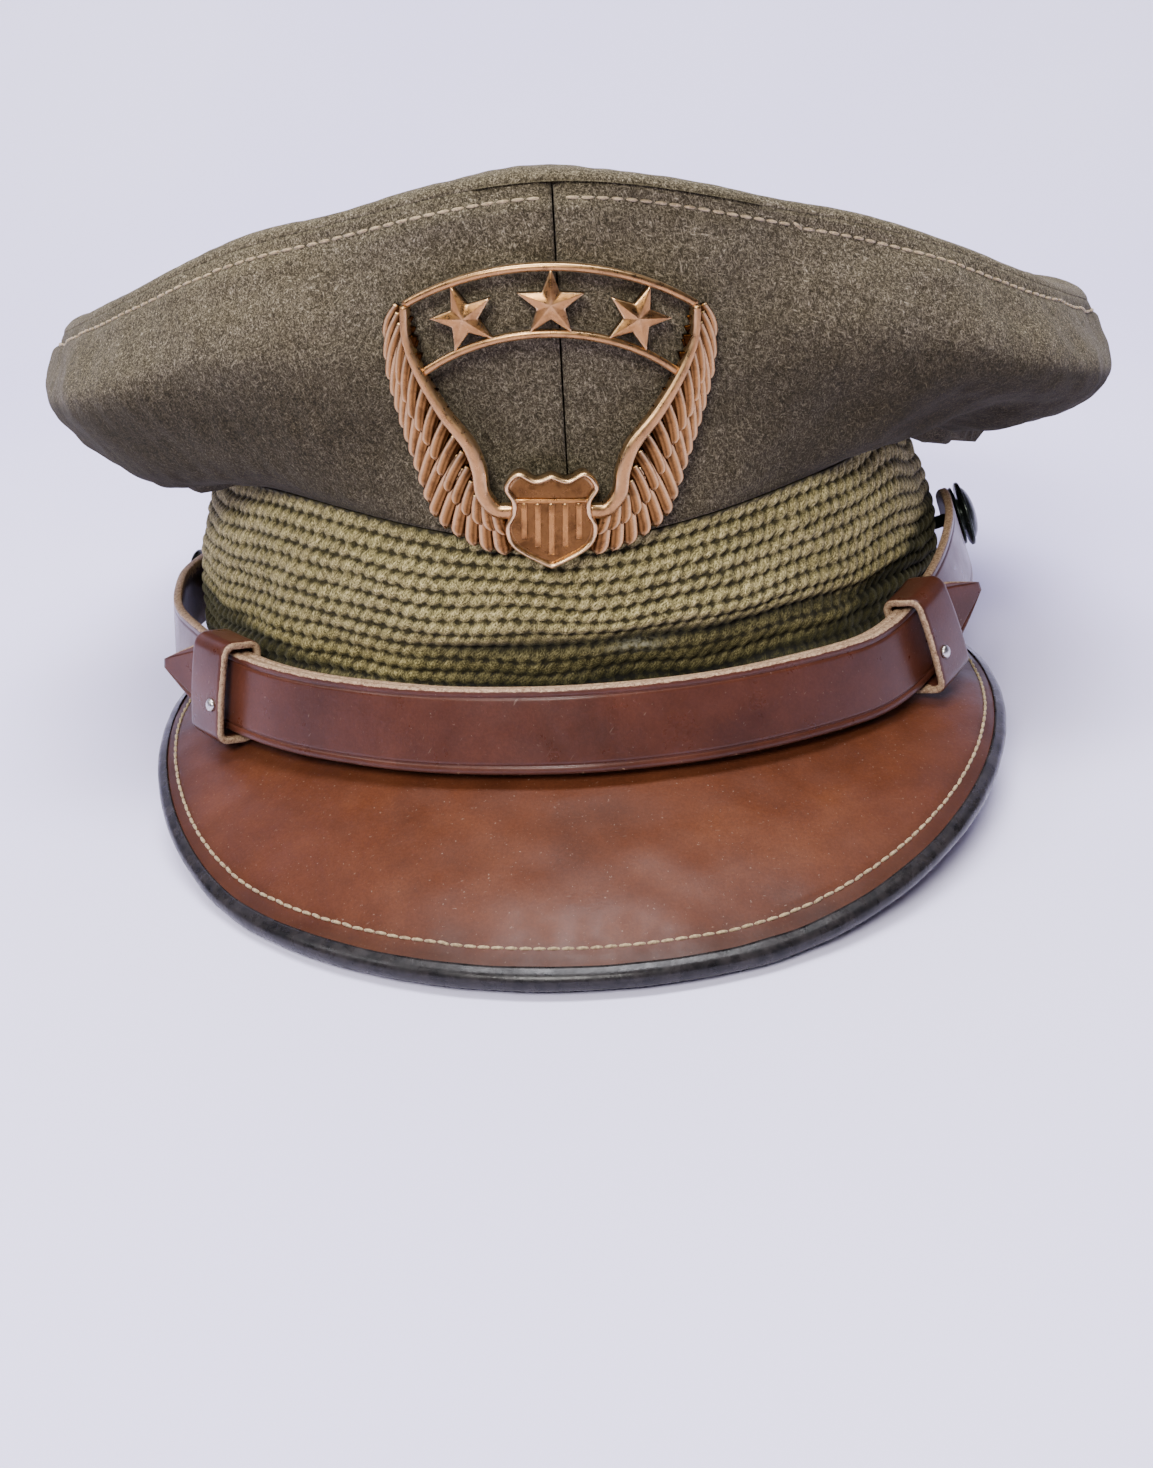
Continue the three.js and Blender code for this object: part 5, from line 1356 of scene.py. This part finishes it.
def make_badge():
    piece = Piece()
    layers = [
        (FEATHER_ROOTS, FEATHER_TIPS, LONG_FEATHERS, 3.4, 0.35, 0.3, (-0.9, -0.3)),
        (COVERT_ROOTS, COVERT_TIPS, SHORT_FEATHERS, 3.0, 1.0, 0.95, (-0.6, -0.2)),
    ]
    for mirror in (False, True):
        for roots, tips, count, width, low, high, bows in layers:
            for t in (np.arange(count) + 0.1) / (count - 0.8):
                root, tip = (plan_curve(points, np.array([t]))[0] for points in (roots, tips))
                feather(piece, root, tip, width + 0.8 * t, low, BADGE_PLATE + high, lerp(*bows, t), mirror)
        line = plan_curve(WING_EDGE, np.linspace(0, 1, 90))
        wide = lerp(1.5, WING_EDGE_WIDTH, smooth(np.linspace(0, 1.5, 90)))
        ribbon(piece, line, wide, BADGE_PLATE + BADGE_RELIEF, 0.8, mirror)
    shares = np.linspace(-1, 1, 90)
    ribbon(piece, arch_curve(0, shares)[0], ARCH_BAR, BADGE_PLATE + 0.6, 0.7)
    ribbon(piece, arch_curve(ARCH_DEPTH, shares)[0], ARCH_BAR, BADGE_PLATE + 0.4, 0.7)
    star_radius = (ARCH_DEPTH - ARCH_BAR + 2 * STAR_SINK) / (1 + math.cos(math.pi / 5))
    for share in (-0.56, 0, 0.56):
        centre, turn = arch_curve(ARCH_BAR / 2 - STAR_SINK + star_radius, np.array([share]))
        points = []
        for k in range(10):
            a = turn[0] + k * math.pi / 5
            r = (0.42 if k % 2 else 1) * star_radius
            points.append((centre[0, 0] + r * math.sin(a), centre[0, 1] + r * math.cos(a)))
        star(piece, points, centre[0], BADGE_PLATE + 0.7)
    field = BADGE_PLATE + 1
    plate(piece, shield_outline(0.6), field, SHIELD_MIDDLE, 0.55)
    rim(piece, shield_outline(0.55), 1.1, field + 0.9)
    y = SHIELD_MIDDLE[1]
    bars = [(0, 3, 3.9, 1.68 * SHIELD_HALF_WIDTH - 1.4)]
    bars += [(x, -7.6 + 0.62 * abs(x), 3.2, 1.1) for x in (-5.2, -2.6, 0, 2.6, 5.2)]
    for x, low, high, width in bars:
        left, right = x - width / 2, x + width / 2
        corners = [(left, y + low), (right, y + low), (right, y + high), (left, y + high)]
        plate(piece, dense(corners, 0.4), field + 0.5, np.array([x, y + (low + high) / 2]))
    piece.finish("winged_badge", BRONZE, "badge", "bronze")


def star(piece, points, middle, height):
    """A star whose faces rise from its rim to its middle."""
    outline = dense(points, 0.6)
    # Painted shade at its foot and a painted highlight along its rim.
    levels = [(1, 0.0, 0.2, 0), (1, height - 0.55, 0.9, 0.7), (0.97, height - 0.38, 1, 0.8),
              (0.88, height - 0.28, 1, 0.1), (0.5, height + 0.05, 1, 0.05), (0.05, height + 0.35, 1, 0.2)]
    stacked(piece, outline, middle, levels)


def rim(piece, outline, width, height):
    """A raised edge that closes on itself round the shield."""
    along = unit(np.roll(outline, -1, 0) - np.roll(outline, 1, 0))
    side = np.stack([-along[:, 1], along[:, 0]], 1)
    turn = np.radians(np.linspace(0, 180, 9))
    x = np.concatenate([[1], np.cos(turn), [-1]]) * width / 2
    z = np.concatenate([[0], 0.7 + 0.3 * np.sin(turn), [0]]) * height
    plan = outline[:, None] + side[:, None] * x[None, :, None]
    points = np.concatenate([plan, np.broadcast_to(z[None, :, None], plan.shape[:2] + (1,))], -1)
    # Painted highlight along its top and painted shade at its feet.
    bright = np.broadcast_to(np.array([0.2] + [0.75] * 9 + [0.2])[None], plan.shape[:2])
    low = np.broadcast_to(np.array([0.2] + [1.0] * 9 + [0.2])[None], plan.shape[:2])
    piece.shell(badge_place(points), grid_quads(len(outline), len(x), True, True), None,
                np.stack([low, bright, 0 * low], -1).reshape(-1, 3))


def make_vent():
    piece = Piece()
    a, s = np.array([float(VENT_ANGLE)]), np.array([VENT_SHARE])
    point = crown_side_shown(a, s)[0]
    out = normal_of(crown_side, a, s, 1.0, 0.01, np.array([0.0, 0, -1]))[0]
    bore = 0.5 * VENT_RADIUS
    profile = [(bore, -CLOTH), (bore + 0.5, -CLOTH), (bore + 0.5, GAP), (VENT_RADIUS, GAP),
               (VENT_RADIUS, GAP + 0.25), (VENT_RADIUS - 0.3, GAP + 0.6), (bore + 0.4, GAP + 0.7),
               (bore, GAP + 0.45), (bore, -CLOTH)]
    revolve(piece, profile, 40, point + out * 0.6, out, (1, 0, 0))
    piece.finish("eyelet", DARK_METAL, "vent_eyelet", "dark_metal")


make_crown_side(-1, "crown_side_right")
make_crown_side(1, "crown_side_left")
make_topstitch(-1)
make_topstitch(1)
make_crown_top()
make_band()
make_peak()
make_binding()
make_inner_strap()
make_outer_strap()
for side_word, side_sign in (("right", -1), ("left", 1)):
    make_keeper(side_sign, side_word)
    make_rivet(side_sign, side_word)
    make_button(side_sign, side_word)
make_badge()
make_vent()

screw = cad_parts["badge_screw"]
screw.data.materials.clear()
screw.data.materials.append(STEEL)


# The floor runs up behind into a pale wall.
def make_stage():
    look = Look("stage")
    base = look.mix(look.remap(look.noise(260, 2, 0.5), 0.3, 0.7), (0.75, 0.71, 0.99), (0.80, 0.765, 1.0))
    look.surface(base, 0.9, None, Specular_IOR_Level=0.1)
    half = 2.4
    front, back, radius = -1.6, 0.95, 0.6
    profile = [(front, 0.0), (-0.4, 0.0), (0.3, 0.0)]
    for turn in np.linspace(0, math.pi / 2, 24):
        profile.append((back - radius + radius * math.sin(turn), radius - radius * math.cos(turn)))
    profile.append((back, 2.6))
    points = [(x, y, z) for y, z in profile for x in (-half, half)]
    faces = [(2 * k, 2 * k + 1, 2 * k + 3, 2 * k + 2) for k in range(len(profile) - 1)]
    mesh = bpy.data.meshes.new("backdrop")
    mesh.from_pydata(points, [], faces)
    mesh.polygons.foreach_set("use_smooth", [True] * len(mesh.polygons))
    mesh.materials.append(look.material)
    made = bpy.data.objects.new("backdrop", mesh)
    bpy.context.scene.collection.objects.link(made)


def add_light(name, place, target, width, height, power, colour):
    data = bpy.data.lights.new(name, "AREA")
    data.shape = "RECTANGLE"
    data.size = width
    data.size_y = height
    data.energy = power
    data.color = colour
    made = bpy.data.objects.new(name, data)
    bpy.context.scene.collection.objects.link(made)
    back = unit(np.array(place, float) - np.array(target, float))
    side = unit(np.cross([0, 0, 1.0], back))
    over = np.cross(back, side)
    rows = np.eye(4)
    rows[:3, 0], rows[:3, 1], rows[:3, 2], rows[:3, 3] = side, over, back, place
    made.matrix_world = Matrix(rows.tolist())


def make_lights():
    add_light("key", (-0.22, -1.0, 0.8), (0, 0, 0.05), 0.42, 0.36, 20, (1.0, 0.98, 0.94))
    add_light("top", (0.0, -0.15, 1.3), (0, -0.1, 0.0), 0.6, 0.35, 13, (0.92, 0.92, 1.0))
    add_light("window", (-0.85, -0.35, 0.75), (0, -0.05, 0.05), 0.45, 0.4, 4, (0.95, 0.96, 1.0))
    add_light("wall", (0, -0.1, 1.9), (0, 0.95, 0.9), 1.8, 0.5, 50, (0.97, 0.97, 1.0))
    world = bpy.data.worlds.new("studio")
    world.use_nodes = True
    world.node_tree.nodes["Background"].inputs[0].default_value = (0.79, 0.78, 1.0, 1)
    world.node_tree.nodes["Background"].inputs[1].default_value = 0.1
    bpy.context.scene.world = world


# The camera looks at the front of the cap from a little above.
CAMERA_LENS = 44.24
CAMERA_DISTANCE = 445
CAMERA_PITCH = 16.8
CAMERA_YAW = 0.3
CAMERA_ROLL = -3.2
CAMERA_AIM = np.array([0, 0, 22.0])
CAMERA_AIM_RIGHT = -0.00527
CAMERA_AIM_UP = 0.11364


def make_camera():
    yaw, pitch, roll = (math.radians(v) for v in (CAMERA_YAW, CAMERA_PITCH, CAMERA_ROLL))
    forward = np.array([math.sin(yaw) * math.cos(pitch), math.cos(yaw) * math.cos(pitch), -math.sin(pitch)])
    right = unit(np.cross(forward, UP))
    over = np.cross(right, forward)
    c, s = math.cos(roll), math.sin(roll)
    right, over = c * right + s * over, c * over - s * right
    spot = CAMERA_AIM - (right * CAMERA_AIM_RIGHT + over * CAMERA_AIM_UP + forward) * CAMERA_DISTANCE
    origin = to_world(np.zeros(3))
    rows = np.eye(4)
    for k, axis in enumerate((right, over, -forward)):
        rows[:3, k] = (to_world(axis) - origin) * 1000
    rows[:3, 3] = to_world(spot)
    data = bpy.data.cameras.new("camera")
    data.sensor_fit = "AUTO"
    data.sensor_width = 36
    data.lens = CAMERA_LENS
    data.clip_start = 0.01
    made = bpy.data.objects.new("camera", data)
    bpy.context.scene.collection.objects.link(made)
    made.matrix_world = Matrix(rows.tolist())
    bpy.context.scene.camera = made


make_stage()
make_lights()
make_camera()
